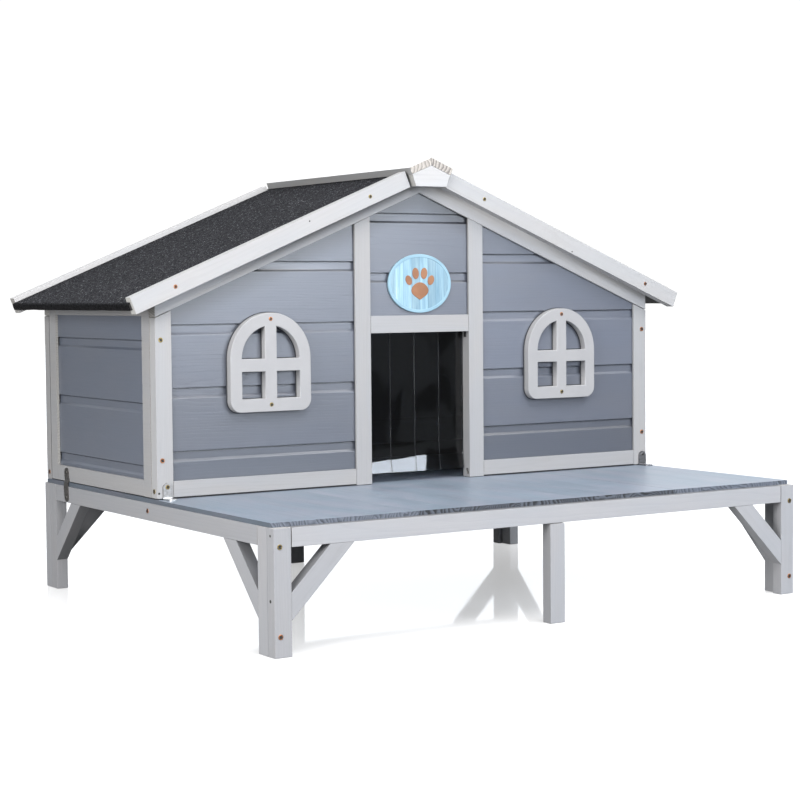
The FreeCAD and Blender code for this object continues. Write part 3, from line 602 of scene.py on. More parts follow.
# painted shade on the inner faces of the back stiles and rails and on the right jamb's inner face, painted light on the
# left corner stile's side face
FRAME_SHADE = {"back_stiles": lambda c, m_: 0.7 if m_.y < -0.5 else 0.0, "back_bottom_rails": lambda c, m_: 0.7 if m_.y < -0.5 else 0.0,
               "door_jambs": lambda c, m_: 0.18 if m_.x < -0.5 and c.x > 0 else 0.0,
               "front_corner_stiles": lambda c, m_: -0.18 if m_.x < -0.5 and c.x < 0 else 0.0}
for n in ("stand_front_legs", "stand_back_legs", "stand_left_legs", "stand_right_legs", "stand_front_braces", "stand_back_braces",
          "stand_left_braces", "stand_right_braces", "stand_front_rail", "stand_back_rail", "stand_left_rail", "stand_right_rail", "stand_bearer"):
    side = n in ("stand_left_legs", "stand_right_legs")
    low = None
    # painted shade on the stand: the brace tops, the back braces' front faces, the back right leg's front and left
    # faces and the front rail's top
    if "braces" in n:
        low = lambda c, m_: 0.5 if m_.z > 0.5 else 0.45 if m_.y < -0.5 and c.y > 0.3 else 0.0
    if n == "stand_back_legs":
        low = lambda c, m_: 0.5 if c.x > 0 and (m_.y < -0.5 or m_.x < -0.5) else 0.0
    if n == "stand_front_rail":
        low = lambda c, m_: 0.5 if m_.z > 0.7 else 0.0
    wood(n, M_STAND, "stand_wood", shrink=1.3 if "rail" in n else 0.0, part=((20.0, 0.6), (810.0, -0.6)) if side else (), shade=low,
         tone=1.3 if n == "stand_front_rail" else None)
# painted shade on the back middle leg's front and left faces and on the front middle leg's left face
for n in ("stand_front_middle_leg", "stand_back_middle_leg"):
    wood(n, M_STAND, "stand_wood", shrink=0.0, lift=(156.0, -1.0),
         shade=(lambda c, m_: 0.72 if m_.y < -0.5 or m_.x < -0.5 else 0.0) if "back" in n else lambda c, m_: 0.18 if m_.x < -0.5 else 0.0)
for n in ("front_corner_stiles", "door_jambs", "front_bottom_rails", "back_stiles", "back_bottom_rails"):
    wood(n, M_FRAME, "frame_wood", lift=None if "back" in n else (DECK_Z, 1.5 if "stiles" in n else 2.7 if "rails" in n else 0.5), bevel=0.8,
         shade=FRAME_SHADE.get(n),
         shrink=0.5 if "rails" in n else 0.25, top=1.0 if "stiles" in n else 0.0)
# near-black strips on the deck under the lifted front rails and side frames: painted shadow in the gap
b = Board("sill")
for x0, x1 in ((-495.5, -101.5), (101.5, 495.5)):
    b.add([P(x, y, z) for z in (DECK_Z, DECK_Z + 3.4) for x, y in ((x0, 381.2), (x1, 381.2), (x1, 396.0), (x0, 396.0))],
          [[0, 1, 2, 3], [4, 5, 6, 7], [0, 1, 5, 4], [1, 2, 6, 5], [2, 3, 7, 6], [3, 0, 4, 7]], 0.0)
for x0, x1 in ((-494.6, -484.0), (484.0, 494.6)):
    b.add([P(x, y, z) for z in (DECK_Z, DECK_Z + 2.2) for x, y in ((x0, 401.0), (x1, 401.0), (x1, 804.0), (x0, 804.0))],
          [[0, 1, 2, 3], [4, 5, 6, 7], [0, 1, 5, 4], [1, 2, 6, 5], [2, 3, 7, 6], [3, 0, 4, 7]], 0.0)
place(b.build("wall_sill_shadow", M_GAP_SHADOW, smooth=False), slot="frame_wood")
# the front bargeboards are toned darker, the back bargeboards and front rake rails lighter: painted shade and painted
# light
for n in ("door_lintel", "front_rake_rails", "back_rake_rails", "left_side_frame", "right_side_frame",
          "front_left_bargeboard", "front_right_bargeboard", "back_bargeboards", "ridge_end_blocks"):
    wood(n, M_BARGE_LIT if "barge" in n or "ridge" in n else M_FRAME, "frame_wood", bevel=0.8,
         lift=(DECK_Z, 1.6) if "side_frame" in n else None,
         shrink=1.1 if "side_frame" in n else 0.4 if "lintel" in n else 0.2, part=((399.0, 0.5), (806.0, -0.5)) if "side_frame" in n else (),
         tone=-0.8 if "front" in n and "barge" in n else 1.6 if n == "back_bargeboards" else 2.6 if n == "front_rake_rails" else None)
# painted shade on the ridge boards' outer edges, which face down the slope
wood("ridge_boards", M_RIDGE, "frame_wood", bevel=0.8, shrink=0.0, flat_sawn=0.0, shade=lambda c, n: 0.62 if abs(n.x) > 0.7 else 0.0)
# painted light and shade course by course, for how the light falls on each; upper limits of the courses, mm, and how
# much darker each is drawn, a negative value lighter
COURSE_SHADE = {"front_left_boards": ((264, 0.26), (364, 0.10), (464, 0.04), (564, 0.06), (9e9, 0.05)),
          "front_right_boards": ((277, 0.22), (377, -0.04), (477, -0.26), (577, -0.20), (9e9, -0.05)),
          "front_gable_boards": ((545, -0.08), (9e9, 0.0))}
for n in ("front_left_boards", "front_right_boards", "front_gable_boards", "back_boards", "left_side_boards", "right_side_boards"):
    wood(n, M_SIDE_LIT if "side" in n else M_BOARD, "wall_board", bevel=0.5, shrink=0.0, groove=2.0, crisp=30, course=COURSE_SHADE.get(n))
# the roof boards are drawn near black
for n in ("left_roof_board", "right_roof_board"):
    wood(n, M_NEAR_BLACK_WOOD, "bare_wood", bevel=0.5, shrink=0.0)
wood("door_strip_batten", M_BARE, "bare_wood", bevel=0.5, shrink=0.0)


# ------------------------------------------------------------------ deck: narrow boards glued edge to edge in four panels
def box_mesh(x0, x1, y0, y1, z0, z1):
    pts = [Vector(p) for p in ((x0, y0, z0), (x1, y0, z0), (x1, y1, z0), (x0, y1, z0), (x0, y0, z1), (x1, y0, z1), (x1, y1, z1), (x0, y1, z1))]
    polys = [[0, 3, 2, 1], [4, 5, 6, 7], [0, 1, 5, 4], [1, 2, 6, 5], [2, 3, 7, 6], [3, 0, 4, 7]]
    return pts, polys


for i, tag in enumerate(("far_left", "left", "right", "far_right")):
    node = "deck_panel_" + tag
    lo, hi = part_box(node)
    rnd = random.Random(41 + i)
    b = Board(700 + i)
    cuts = [0.0]
    ws = [rnd.uniform(0.8, 1.25) for _ in range(4)]
    for q in ws:
        cuts.append(cuts[-1] + q / sum(ws))
    step = (0.0, 0.3, -0.2, 0.25)[i] * MM
    for k in range(4):
        x0 = lo.x + (hi.x - lo.x) * cuts[k]
        x1 = lo.x + (hi.x - lo.x) * cuts[k + 1]
        dy = rnd.uniform(0.0, 0.5) * MM
        pts, polys = box_mesh(x0, x1, lo.y + dy + abs(step), hi.y - dy, lo.z, hi.z - rnd.uniform(0.0, 0.12) * MM)
        # painted shade on the far left panel's left edge
        b.add(pts, polys, 0.35 * MM, 2, axis=(0, 1, 0), flat_sawn=rnd.choice((0.0, 0.5, 2.6, -0.4)),
              tone=(0.28, 0.78, 0.82, 0.26)[i] + rnd.uniform(-0.12, 0.12), rings=rnd.uniform(0.36, 0.85),
              shade=lambda c, n: 0.48 if n.x < -0.9 and c.x < -0.49 else 0.0)
    place(b.build(node + "_piece", M_DECK), node, slot="deck_board")


# ------------------------------------------------------------------ mesh helpers for the other pieces
def mesh_object(name, co, faces, mats, smooth=True, mat_index=None, bare=None):
    me = bpy.data.meshes.new(name)
    me.from_pydata([tuple(c) for c in co], [], faces)
    for m_ in (mats if isinstance(mats, (list, tuple)) else [mats]):
        me.materials.append(m_)
    if mat_index is not None:
        me.polygons.foreach_set("material_index", mat_index)
    if smooth:
        me.polygons.foreach_set("use_smooth", [True] * len(me.polygons))
    if bare is not None:
        at = me.attributes.new("bare", "FLOAT", "POINT")
        at.data.foreach_set("value", np.array(bare, np.float32))
    me.update()
    o = bpy.data.objects.new(name, me)
    SC.collection.objects.link(o)
    return o


def flat_shape(name, loops, y_front, depth, bevel, material, res=3):
    """Outlines in the XZ plane (first is outer, rest are holes), mm, made solid from y_front back by depth with rounded edges."""
    cu = bpy.data.curves.new(name + "_curve", "CURVE")
    cu.dimensions = "2D"
    cu.fill_mode = "BOTH"
    for loop in loops:
        sp = cu.splines.new("POLY")
        sp.points.add(len(loop) - 1)
        for p, (x, z) in zip(sp.points, loop):
            p.co = (x * MM, z * MM, 0, 1)
        sp.use_cyclic_u = True
    cu.extrude = (depth / 2 - bevel) * MM
    cu.bevel_depth = bevel * MM
    cu.bevel_resolution = res
    cu.offset = -bevel * MM
    co = bpy.data.objects.new(name + "_curve", cu)
    SC.collection.objects.link(co)
    bpy.context.view_layer.update()
    dg = bpy.context.evaluated_depsgraph_get()
    me = bpy.data.meshes.new_from_object(co.evaluated_get(dg))
    bpy.data.objects.remove(co)
    # the curve's plane XY becomes XZ, and its +Z faces the front (-Y)
    rot = Matrix(((1, 0, 0, 0), (0, 0, -1, (y_front + depth / 2 - CY) * MM), (0, 1, 0, 0), (0, 0, 0, 1)))
    me.transform(rot)
    bm = bmesh.new()
    bm.from_mesh(me)
    bmesh.ops.remove_doubles(bm, verts=bm.verts, dist=1e-6)
    bmesh.ops.recalc_face_normals(bm, faces=bm.faces)
    bm.to_mesh(me)
    bm.free()
    me.name = name
    me.materials.clear()
    me.materials.append(material)
    me.polygons.foreach_set("use_smooth", [True] * len(me.polygons))
    me.update()
    o = bpy.data.objects.new(name, me)
    SC.collection.objects.link(o)
    w = o.modifiers.new("corners", "WEIGHTED_NORMAL")
    w.weight = 100
    return o


def arc_pts(cx, cz, r, a0, a1, n):
    return [(cx + r * math.cos(a0 + (a1 - a0) * k / n), cz + r * math.sin(a0 + (a1 - a0) * k / n)) for k in range(n + 1)]


# ------------------------------------------------------------------ arched window frames
WIN_Z0, SPRING, WIN_R, WIN_RI, BAR, KR = 322.3, 408.2, 74.15, 53.0, 10.75, 19.0
for side, cx in (("left", -295.5), ("right", 295.5)):
    outer = arc_pts(cx, SPRING, WIN_R, 0, math.pi, 56)
    outer += arc_pts(cx - WIN_R + KR, WIN_Z0 + KR, KR, math.pi, 1.5 * math.pi, 14)
    outer += arc_pts(cx + WIN_R - KR, WIN_Z0 + KR, KR, 1.5 * math.pi, 2 * math.pi, 14)
    a = math.acos(BAR / WIN_RI)
    h1 = [(cx + BAR, SPRING)] + arc_pts(cx, SPRING, WIN_RI, 0, a, 26)
    h2 = [(cx - BAR, SPRING)] + arc_pts(cx, SPRING, WIN_RI, math.pi, math.pi - a, 26)
    z0, z1 = WIN_Z0 + 21.5, SPRING - 20.6
    h3 = [(cx + BAR, z0), (cx + WIN_RI, z0), (cx + WIN_RI, z1), (cx + BAR, z1)]
    h4 = [(cx - BAR, z0), (cx - WIN_RI, z0), (cx - WIN_RI, z1), (cx - BAR, z1)]
    o = flat_shape(side + "_window_piece", [outer, h1, h2, h3, h4], 370.5, 12.7, 1.2, M_WINDOW)
    place(o, side + "_window_frame", slot="frame_wood")
    # a thin near-black sheet behind the frame, standing out past its edges, parts the frame from the boards: a painted
    # contact shadow
    g = -1.4
    outer = arc_pts(cx, SPRING, WIN_R - g, 0, math.pi, 48)
    outer += arc_pts(cx - WIN_R + KR, WIN_Z0 + KR, KR - g, math.pi, 1.5 * math.pi, 10)
    outer += arc_pts(cx + WIN_R - KR, WIN_Z0 + KR, KR - g, 1.5 * math.pi, 2 * math.pi, 10)
    a = math.acos((BAR - g) / (WIN_RI + g))
    a0 = math.asin(-g / (WIN_RI + g))
    h1 = [(cx + BAR - g, SPRING - g)] + arc_pts(cx, SPRING, WIN_RI + g, a0, a, 26)
    h2 = [(cx - BAR + g, SPRING - g)] + arc_pts(cx, SPRING, WIN_RI + g, math.pi - a0, math.pi - a, 26)
    z0, z1 = z0 - g, z1 + g
    h3 = [(cx + BAR - g, z0), (cx + WIN_RI + g, z0), (cx + WIN_RI + g, z1), (cx + BAR - g, z1)]
    h4 = [(cx - BAR + g, z0), (cx - WIN_RI - g, z0), (cx - WIN_RI - g, z1), (cx - BAR + g, z1)]
    place(flat_shape(side + "_window_back", [outer, h1, h2, h3, h4], 382.8, 1.1, 0.2, M_WINDOW_SHADOW), slot="frame_wood")

# ------------------------------------------------------------------ oval plaque with a raised rim and a paw print
PZ = 528.0
oval = [(63.8 * math.cos(t), PZ + 49.8 * math.sin(t)) for t in np.linspace(0, 2 * math.pi, 97)[:-1]]
place(flat_shape("door_plaque_piece", [oval], 380.6, 3.3, 0.5, M_PLAQUE), "door_plaque", slot="plaque")
inner = [(58.5 * math.cos(t), PZ + 44.5 * math.sin(t)) for t in np.linspace(0, 2 * math.pi, 97)[:-1]]
place(flat_shape("door_plaque_rim", [oval, inner], 380.0, 1.4, 0.6, M_RIM), slot="plaque")
pad = []
for t in np.linspace(0, 2 * math.pi, 73)[:-1]:
    s, c = math.sin(t), math.cos(t)
    rx = 17.5 * (1 - 0.16 * max(0.0, s))
    pad.append((rx * c, PZ - 11.0 + 13.0 * s - 3.2 * math.exp(-(c / 0.34) ** 2) * max(0.0, -s)))
place(flat_shape("plaque_paw_pad", [pad], 379.95, 1.0, 0.35, M_PAW), slot="plaque")
for k, (tx, tz, rx, rz, tilt) in enumerate(((-22.5, 5.5, 6.2, 8.6, 0.42), (-8.6, 17.0, 6.6, 9.6, 0.12), (8.6, 17.0, 6.6, 9.6, -0.12), (22.5, 5.5, 6.2, 8.6, -0.42))):
    toe = []
    for t in np.linspace(0, 2 * math.pi, 49)[:-1]:
        x, z = rx * math.cos(t), rz * math.sin(t)
        toe.append((tx + x * math.cos(tilt) - z * math.sin(tilt), PZ + tz + x * math.sin(tilt) + z * math.cos(tilt)))
    place(flat_shape("plaque_paw_toe_%d" % (k + 1), [toe], 379.95, 1.0, 0.35, M_PAW), slot="plaque")


# ------------------------------------------------------------------ roof felt, turned down over the eave
def felt(side):
    sx = -1 if side == "left" else 1
    ROOF_Z, EAVE, T_, FT = 712.0, 546.0, 10.0, 2.0
    se = EAVE / CA
    # path in slope coordinates (s down the slope, h square to it), outer side of the felt
    path, flag = [], []
    n = 96
    for k in range(n + 1):
        s = 0.9 + (se - 3.2 - 0.9) * k / n
        path.append((s, T_ + FT))
        flag.append(0.0)
    for k in range(1, 9):
        a = math.pi / 2 * k / 8
        path.append((se - 3.2 + (FT + 3.2) * math.sin(a), T_ + FT - 5.0 + 5.0 * math.cos(a)))
        flag.append(min(1.0, k / 4))
    for h in (5.2, 3.4, 1.6):
        path.append((se + FT, h))
        flag.append(1.0)
    for k in range(1, 5):
        a = math.pi * k / 4
        path.append((se + FT / 2 + FT / 2 * math.cos(a), 1.2 - 1.2 * math.sin(a)))
        flag.append(1.0)
    path.append((se + 0.05, 6.0))
    flag.append(1.0)
    path.append((se + 0.05, T_ + 0.05))
    flag.append(1.0)
    path.append((0.9, T_ + 0.05))
    flag.append(1.0)
    ys = np.linspace(360.4, 837.1, 84)
    co, bare, faces = [], [], []
    m_ = len(path)
    for j, y in enumerate(ys):
        for i, (s, h) in enumerate(path):
            amp = 0.0
            if i <= n:
                amp = 0.10 * math.sin(y / 31.0 + s / 47.0) + 0.08 * math.sin(y / 13.0 - s / 19.0 + 1.7) - 0.18
            drop = 0.0
            if flag[i] > 0.5 and i < m_ - 3:
                drop = 0.35 * math.sin(y / 23.0 + 0.6) + 0.25 * math.sin(y / 9.0)
                drop = max(-0.6, min(0.6, drop)) * (0.5 if h > 2 else 1.0)
                if h < 1.3:
                    drop = max(drop, 0.0)
            hh = h + amp + drop * 0.8
            x = s * CA + hh * SA
            z = ROOF_Z - s * SA + hh * CA
            co.append(P(sx * x, y, z))
            bare.append(flag[i])
    for j in range(len(ys) - 1):
        for i in range(m_):
            a, b_ = j * m_ + i, j * m_ + (i + 1) % m_
            c, d = (j + 1) * m_ + (i + 1) % m_, (j + 1) * m_ + i
            faces.append([a, b_, c, d] if sx > 0 else [d, c, b_, a])
    e0 = list(range(m_))
    e1 = [(len(ys) - 1) * m_ + i for i in range(m_)]
    faces.append(e0[::-1] if sx > 0 else e0)
    faces.append(e1 if sx > 0 else e1[::-1])
    o = mesh_object(side + "_felt_piece", co, faces, M_FELT, bare=bare)
    bm = bmesh.new()
    bm.from_mesh(o.data)
    bmesh.ops.recalc_face_normals(bm, faces=bm.faces)
    bm.to_mesh(o.data)
    bm.free()
    o.data.set_sharp_from_angle(angle=math.radians(50))
    return place(o, side + "_roof_felt", slot="roof_felt")


felt("left")
felt("right")


# ------------------------------------------------------------------ clear strips, one sheet each from the batten down
def strip(k):
    x0 = -98.45 + k * 49.4
    x1 = x0 + 48.7
    t = 2.0
    nz, nx = 70, 8
    front, back = [], []
    zt, zb = 474.0, 207.0
    for j in range(nz + 1):
        z = zt + (zb - zt) * j / nz
        for i in range(nx + 1):
            f = i / nx
            x = x0 + (x1 - x0) * f
            free = max(0.0, (440.0 - z) / 233.0)
            # a strip that was rolled keeps a slight bow and twist
            fade = 4.0 * free * max(0.0, 1.0 - free) ** 2
            y = 400.2 + fade * (0.6 * math.sin(3.0 * free + 1.3 * k) + 0.8 * math.sin(2.2 * k + 0.7) * (f - 0.5) * 2)
            y += 0.3 * fade * math.sin(5.1 * free + 2.1 * k) * math.cos(math.pi * (f - 0.5))
            # the lower end keeps its roll and turns outward
            lc = 44.0 + 18.0 * min(1.0, max(0.0, (x + 99.0) / 120.0))
            c = max(0.0, (207.0 + lc - z) / lc)
            y -= 0.088 * lc * c * c
            front.append((x, y, z))
    co, faces = [], []
    w = nx + 1
    pts = np.array(front)
    grid = pts.reshape(nz + 1, w, 3)
    du = np.gradient(grid, axis=1)
    dv = np.gradient(grid, axis=0)
    nrm = np.cross(du, dv)
    nrm /= np.linalg.norm(nrm, axis=2, keepdims=True)
    if nrm[0, 0, 1] > 0:
        nrm = -nrm
    fr = (grid + nrm * t / 2).reshape(-1, 3)
    bk = (grid - nrm * t / 2).reshape(-1, 3)
    co = [P(*p) for p in fr] + [P(*p) for p in bk]
    nf = len(fr)
    for j in range(nz):
        for i in range(nx):
            a, b_, c, d = j * w + i, j * w + i + 1, (j + 1) * w + i + 1, (j + 1) * w + i
            faces.append([a, d, c, b_])
            faces.append([nf + a, nf + b_, nf + c, nf + d])
    rim = [i for i in range(w)] + [j * w + nx for j in range(1, nz + 1)] + [nz * w + i for i in range(nx - 1, -1, -1)] + [j * w for j in range(nz - 1, 0, -1)]
    for a, b_ in zip(rim, rim[1:] + rim[:1]):
        faces.append([a, b_, nf + b_, nf + a])
    mi = [0] * (2 * nz * nx) + [1] * (len(faces) - 2 * nz * nx)
    o = mesh_object("door_strip_%d_sheet" % (k + 1), co, faces, [M_VINYL, M_CUT], mat_index=mi)
    bm = bmesh.new()
    bm.from_mesh(o.data)
    bmesh.ops.recalc_face_normals(bm, faces=bm.faces)
    bm.to_mesh(o.data)
    bm.free()
    o.data.polygons.foreach_set("use_smooth", [True] * len(o.data.polygons))
    o.data.set_sharp_from_angle(angle=math.radians(40))
    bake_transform(o)
    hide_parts("door_strip_%d" % (k + 1))
    if k == 0:
        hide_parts("door_strip_heads")
    return o


for k in range(4):
    strip(k)


# ------------------------------------------------------------------ countersunk screws with a cross recess
def screw_mesh(r_head, r_shank, length, proud=0.3):
    """Points in mm with +Z out of the head; the head's rim stands proud of z = 0."""
    co, faces = [], []
    N = 32
    top = proud

    def ring(r, z, n=N):
        i0 = len(co)
        co.extend((r * math.cos(2 * math.pi * k / n), r * math.sin(2 * math.pi * k / n), z) for k in range(n))
        return list(range(i0, i0 + n))

    # cross recess: arm half-width a, arm length b
    a, b_ = 0.30 * r_head, 0.66 * r_head
    cross2d = [(b_, -a), (b_, a), (a, a), (a, b_), (-a, b_), (-a, a), (-b_, a), (-b_, -a), (-a, -a), (-a, -b_), (a, -b_), (a, -a)]
    c0 = len(co)
    co.extend((x, y, top) for x, y in cross2d)
    crossT = list(range(c0, c0 + 12))
    c1 = len(co)
    co.extend((x * 0.8, y * 0.8, 0.12) for x, y in cross2d)
    crossB = list(range(c1, c1 + 12))
    rim0 = ring(r_head * 0.90, top)
    # face between the recess and the rim: fan by angle
    def ang(i):
        return math.atan2(co[i][1], co[i][0])
    outer = sorted(rim0, key=ang)
    inn = sorted(crossT, key=ang)
    i = j = 0
    no, ni = len(outer), len(inn)
    while i < no or j < ni:
        ao = ang(outer[i % no]) + (2 * math.pi if i >= no else 0)
        ai = ang(inn[j % ni]) + (2 * math.pi if j >= ni else 0)
        if j >= ni or (i < no and ao <= ai):
            faces.append([outer[i % no], outer[(i + 1) % no], inn[j % ni]])
            i += 1
        else:
            faces.append([inn[j % ni], outer[i % no], inn[(j + 1) % ni]])
            j += 1
    r0 = len(faces)
    for k in range(12):
        faces.append([crossT[k], crossT[(k + 1) % 12], crossB[(k + 1) % 12], crossB[k]])
    faces.append(crossB)
    dark = range(r0, len(faces))
    rings = [outer]
    for r, z in ((r_head * 0.975, top - 0.06 * r_head), (r_head, top - 0.16 * r_head), (r_head, top - 0.9), (r_shank, top - 3.1), (r_shank, top - length + 2.5)):
        q = ring(r, z)
        rings.append(sorted(q, key=ang))
    tip = len(co)
    co.append((0, 0, top - length))
    for ra, rb in zip(rings, rings[1:]):
        for k in range(N):
            faces.append([ra[k], rb[k], rb[(k + 1) % N], ra[(k + 1) % N]])
    for k in range(N):
        faces.append([rings[-1][k], tip, rings[-1][(k + 1) % N]])
    return co, faces, dark


def screws(name, node, items):
    """items: (head position mm, direction into the wood, r_head, r_shank, length, proud, finish 0 to 2)"""
    rnd = random.Random(name)
    co, faces, mi = [], [], []
    for pos, d, rh, rs, ln, pr, fin in items:
        c, f, dark = screw_mesh(rh * 1.12, rs, ln, pr + 0.35)
        z = -Vector(d).normalized()
        x = z.orthogonal().normalized()
        y = z.cross(x)
        t = rnd.uniform(0, math.pi)
        xr, yr = x * math.cos(t) + y * math.sin(t), y * math.cos(t) - x * math.sin(t)
        tilt = (rnd.uniform(-0.03, 0.03), rnd.uniform(-0.03, 0.03))
        b0 = len(co)
        for p in c:
            q = xr * p[0] + yr * p[1] + z * (p[2] + tilt[0] * p[0] + tilt[1] * p[1])
            co.append(P(pos[0] + q.x, pos[1] + q.y, pos[2] + q.z))
        faces.extend([[b0 + k for k in ff] for ff in f])
        # the cross recess takes a near-black or dark material: painted shade in the recess
        mi.extend((2 if fin == 3 else 2 if fin == 5 else 3) if k in dark else fin % 5 for k in range(len(f)))
    o = mesh_object(name, co, faces, [M_COPPER, M_OLIVE, M_DARK, M_HOLE, M_TARN], mat_index=mi)
    bm = bmesh.new()
    bm.from_mesh(o.data)
    bmesh.ops.recalc_face_normals(bm, faces=bm.faces)
    bm.to_mesh(o.data)
    bm.free()
    o.data.set_sharp_from_angle(angle=math.radians(35))
    return place(o, node, slot="screw")


st, ho, fx = [], [], []
for sx in (-1, 1):
    for z in (157.5, 30.0):
        st.append(((sx * 490.5, 0, z), (0, 1, 0), 3.6, 1.6, 38, 0.3, 1 if z > 100 else 0))
        st.append(((sx * 490.5, 830.0, z), (0, -1, 0), 3.6, 1.6, 38, 0.3, 0))
    st.append(((sx * 500.0, 410.0, 171.5), (-sx, 0, 0), 3.6, 1.6, 38, 0.3, 0))
    for z in (442.0, 252.5):
        ho.append(((sx * 487.5, 379.0, z), (0, 1, 0), 3.6, 1.6, 38, 0.3, 1 if z > 400 and sx < 0 else 0))
        ho.append(((sx * 487.5, 826.0, z), (0, -1, 0), 3.6, 1.6, 38, 0.3, 0))
    ho.append(((sx * 497.0, 390.0, 203.5), (-sx, 0, 0), 3.6, 1.6, 38, 0.3, 1))
    ho.append(((sx * 497.0, 815.0, 203.5), (-sx, 0, 0), 3.6, 1.6, 38, 0.3, 0))
    for z in (WIN_Z0 + 11.5, 472.3):
        ho.append(((sx * 295.5, 370.5, z), (0, 1, 0), 3.1, 1.6, 20, 0.3, 0 if z > 400 else 1))
    for x in (115.5, 473.5):
        z = 703.6 - SLOPE * x + 14.0 / CA
        ho.append(((sx * x, 352.0, z), (0, 1, 0), 3.0, 1.6, 30, 0.3, 1 if x < 200 else 0))
        ho.append(((sx * x, 850.0, z), (0, -1, 0), 3.0, 1.6, 30, 0.3, 0))
    fx.append(((sx * 502.0, 731.5, 165.0), (-sx, 0, 0), 3.2, 1.5, 16, 0.5, 2))
    fx.append(((sx * 499.0, 737.18, 208.13), (-sx, 0, 0), 3.2, 1.5, 16, 0.5, 2))
for cx in (-480.2, 487.6):
    fx.append(((cx, 377.0, DECK_Z + 19.6), (0, 1, 0), 3.2, 1.5, 16, 0.5, 1 if cx < 0 else 4))
    fx.append(((cx, 361.0, DECK_Z + 2.0), (0, 0, -1), 3.2, 1.5, 8.6, 0.5, 4))
for y, z in ((386.6, 204.6), (384.2, 199.6)):
    fx.append(((100.0, y, z), (1, 0, 0), 2.3, 1.2, 20, 0.2, 3))
screws("stand_screws_piece", "stand_screws", st)
screws("house_screws_piece", "house_screws", ho)
screws("fixing_screws_piece", "fixing_screws", fx)


# ------------------------------------------------------------------ brackets and straps, rounded and bent from strip
def bent_plate(path, width_dir, centre, half, thick, end_round, name, material, bevel=0.3, taper_n=14):
    """Sheet-metal strip along path (list of 3-D points, mm) with rounded ends; thick is a vector field by path normal."""
    pts = [Vector(p) for p in path]
    cum = [0.0]
    for a, b_ in zip(pts, pts[1:]):
        cum.append(cum[-1] + (b_ - a).length)
    total = cum[-1]
    stations = sorted(set([round(total * k / 40, 4) for k in range(41)] +
                          [round(half * (1 - math.cos(math.pi / 2 * k / taper_n)), 4) for k in range(taper_n + 1) if end_round[0]] +
                          [round(total - half * (1 - math.cos(math.pi / 2 * k / taper_n)), 4) for k in range(taper_n + 1) if end_round[1]]))

    def at(s):
        for i in range(len(pts) - 1):
            if s <= cum[i + 1] + 1e-9:
                f = (s - cum[i]) / (cum[i + 1] - cum[i])
                return pts[i].lerp(pts[i + 1], f), (pts[i + 1] - pts[i]).normalized()
        return pts[-1], (pts[-1] - pts[-2]).normalized()

    wd = Vector(width_dir)
    rows = []
    for s in stations:
        p, t = at(s)
        p0, t0 = at(max(0.0, s - 0.4))
        p1, t1 = at(min(total, s + 0.4))
        t = (t0 + t1).normalized()
        n = t.cross(wd).normalized()
        hw = half
        if end_round[0] and s < half:
            hw = math.sqrt(max(0.0, half ** 2 - (half - s) ** 2))
        if end_round[1] and total - s < half:
            hw = min(hw, math.sqrt(max(0.0, half ** 2 - (half - (total - s)) ** 2)))
        rows.append((p, n, max(hw, 0.6)))
    co, faces = [], []
    for p, n, hw in rows:
        for w_, h in ((-hw, 0.0), (hw, 0.0), (hw, thick), (-hw, thick)):
            co.append(P(*(p + wd * w_ + n * h)))
    for k in range(len(rows) - 1):
        for i in range(4):
            a, b_ = 4 * k + i, 4 * k + (i + 1) % 4
            faces.append([a, b_, b_ + 4, a + 4])
    faces.append([3, 2, 1, 0])
    e = 4 * (len(rows) - 1)
    faces.append([e, e + 1, e + 2, e + 3])
    bm = bmesh.new()
    vs = [bm.verts.new(c) for c in co]
    for f in faces:
        bm.faces.new([vs[i] for i in f])
    bmesh.ops.recalc_face_normals(bm, faces=bm.faces)
    sharp = [q for q in bm.edges if len(q.link_faces) == 2 and q.calc_face_angle(0) > math.radians(50)]
    bmesh.ops.bevel(bm, geom=sharp, offset=bevel * MM, segments=2, profile=0.6, affect="EDGES", clamp_overlap=True)
    return bm


def join_bms(name, bms, material):
    me = bpy.data.meshes.new(name)
    total = bmesh.new()
    for b_ in bms:
        tmp = bpy.data.meshes.new("tmp")
        b_.to_mesh(tmp)
        total.from_mesh(tmp)
        bpy.data.meshes.remove(tmp)
        b_.free()
    total.to_mesh(me)
    total.free()
    me.materials.append(material)
    me.polygons.foreach_set("use_smooth", [True] * len(me.polygons))
    o = bpy.data.objects.new(name, me)
    SC.collection.objects.link(o)
    w = o.modifiers.new("corners", "WEIGHTED_NORMAL")
    w.weight = 100
    return o


def corner_path(y, z, up, out, r=2.6, th=2.0):
    """Outer side of an angle bracket: down the wall, round the bend, out along the deck."""
    pts = [(0, y, z + up), (0, y, z + th + r)]
    for k in range(1, 8):
        a = math.pi / 2 * k / 8
        pts.append((0, y - (th + r) * (1 - math.cos(a)), z + (th + r) - (th + r) * math.sin(a)))
    pts += [(0, y - th - r, z), (0, y - out, z)]
    return pts


bms = []
for cx in (-480.2, 487.6):
    path = [(cx, q[1], q[2]) for q in corner_path(379.0, DECK_Z, 26.0, 26.0, r=1.0)]
    bms.append(bent_plate(path, (1, 0, 0), None, 7.6 if cx < 0 else 8.4, 2.0, (True, True), "b", M_ZINC))
o = place(join_bms("corner_brackets_piece", bms, M_ZINC), "corner_brackets", slot="bracket_zinc")
o.data.materials.append(M_TARN)
o.data.materials.append(M_ZINC_SHADED)
o.data.materials.append(M_DARK)
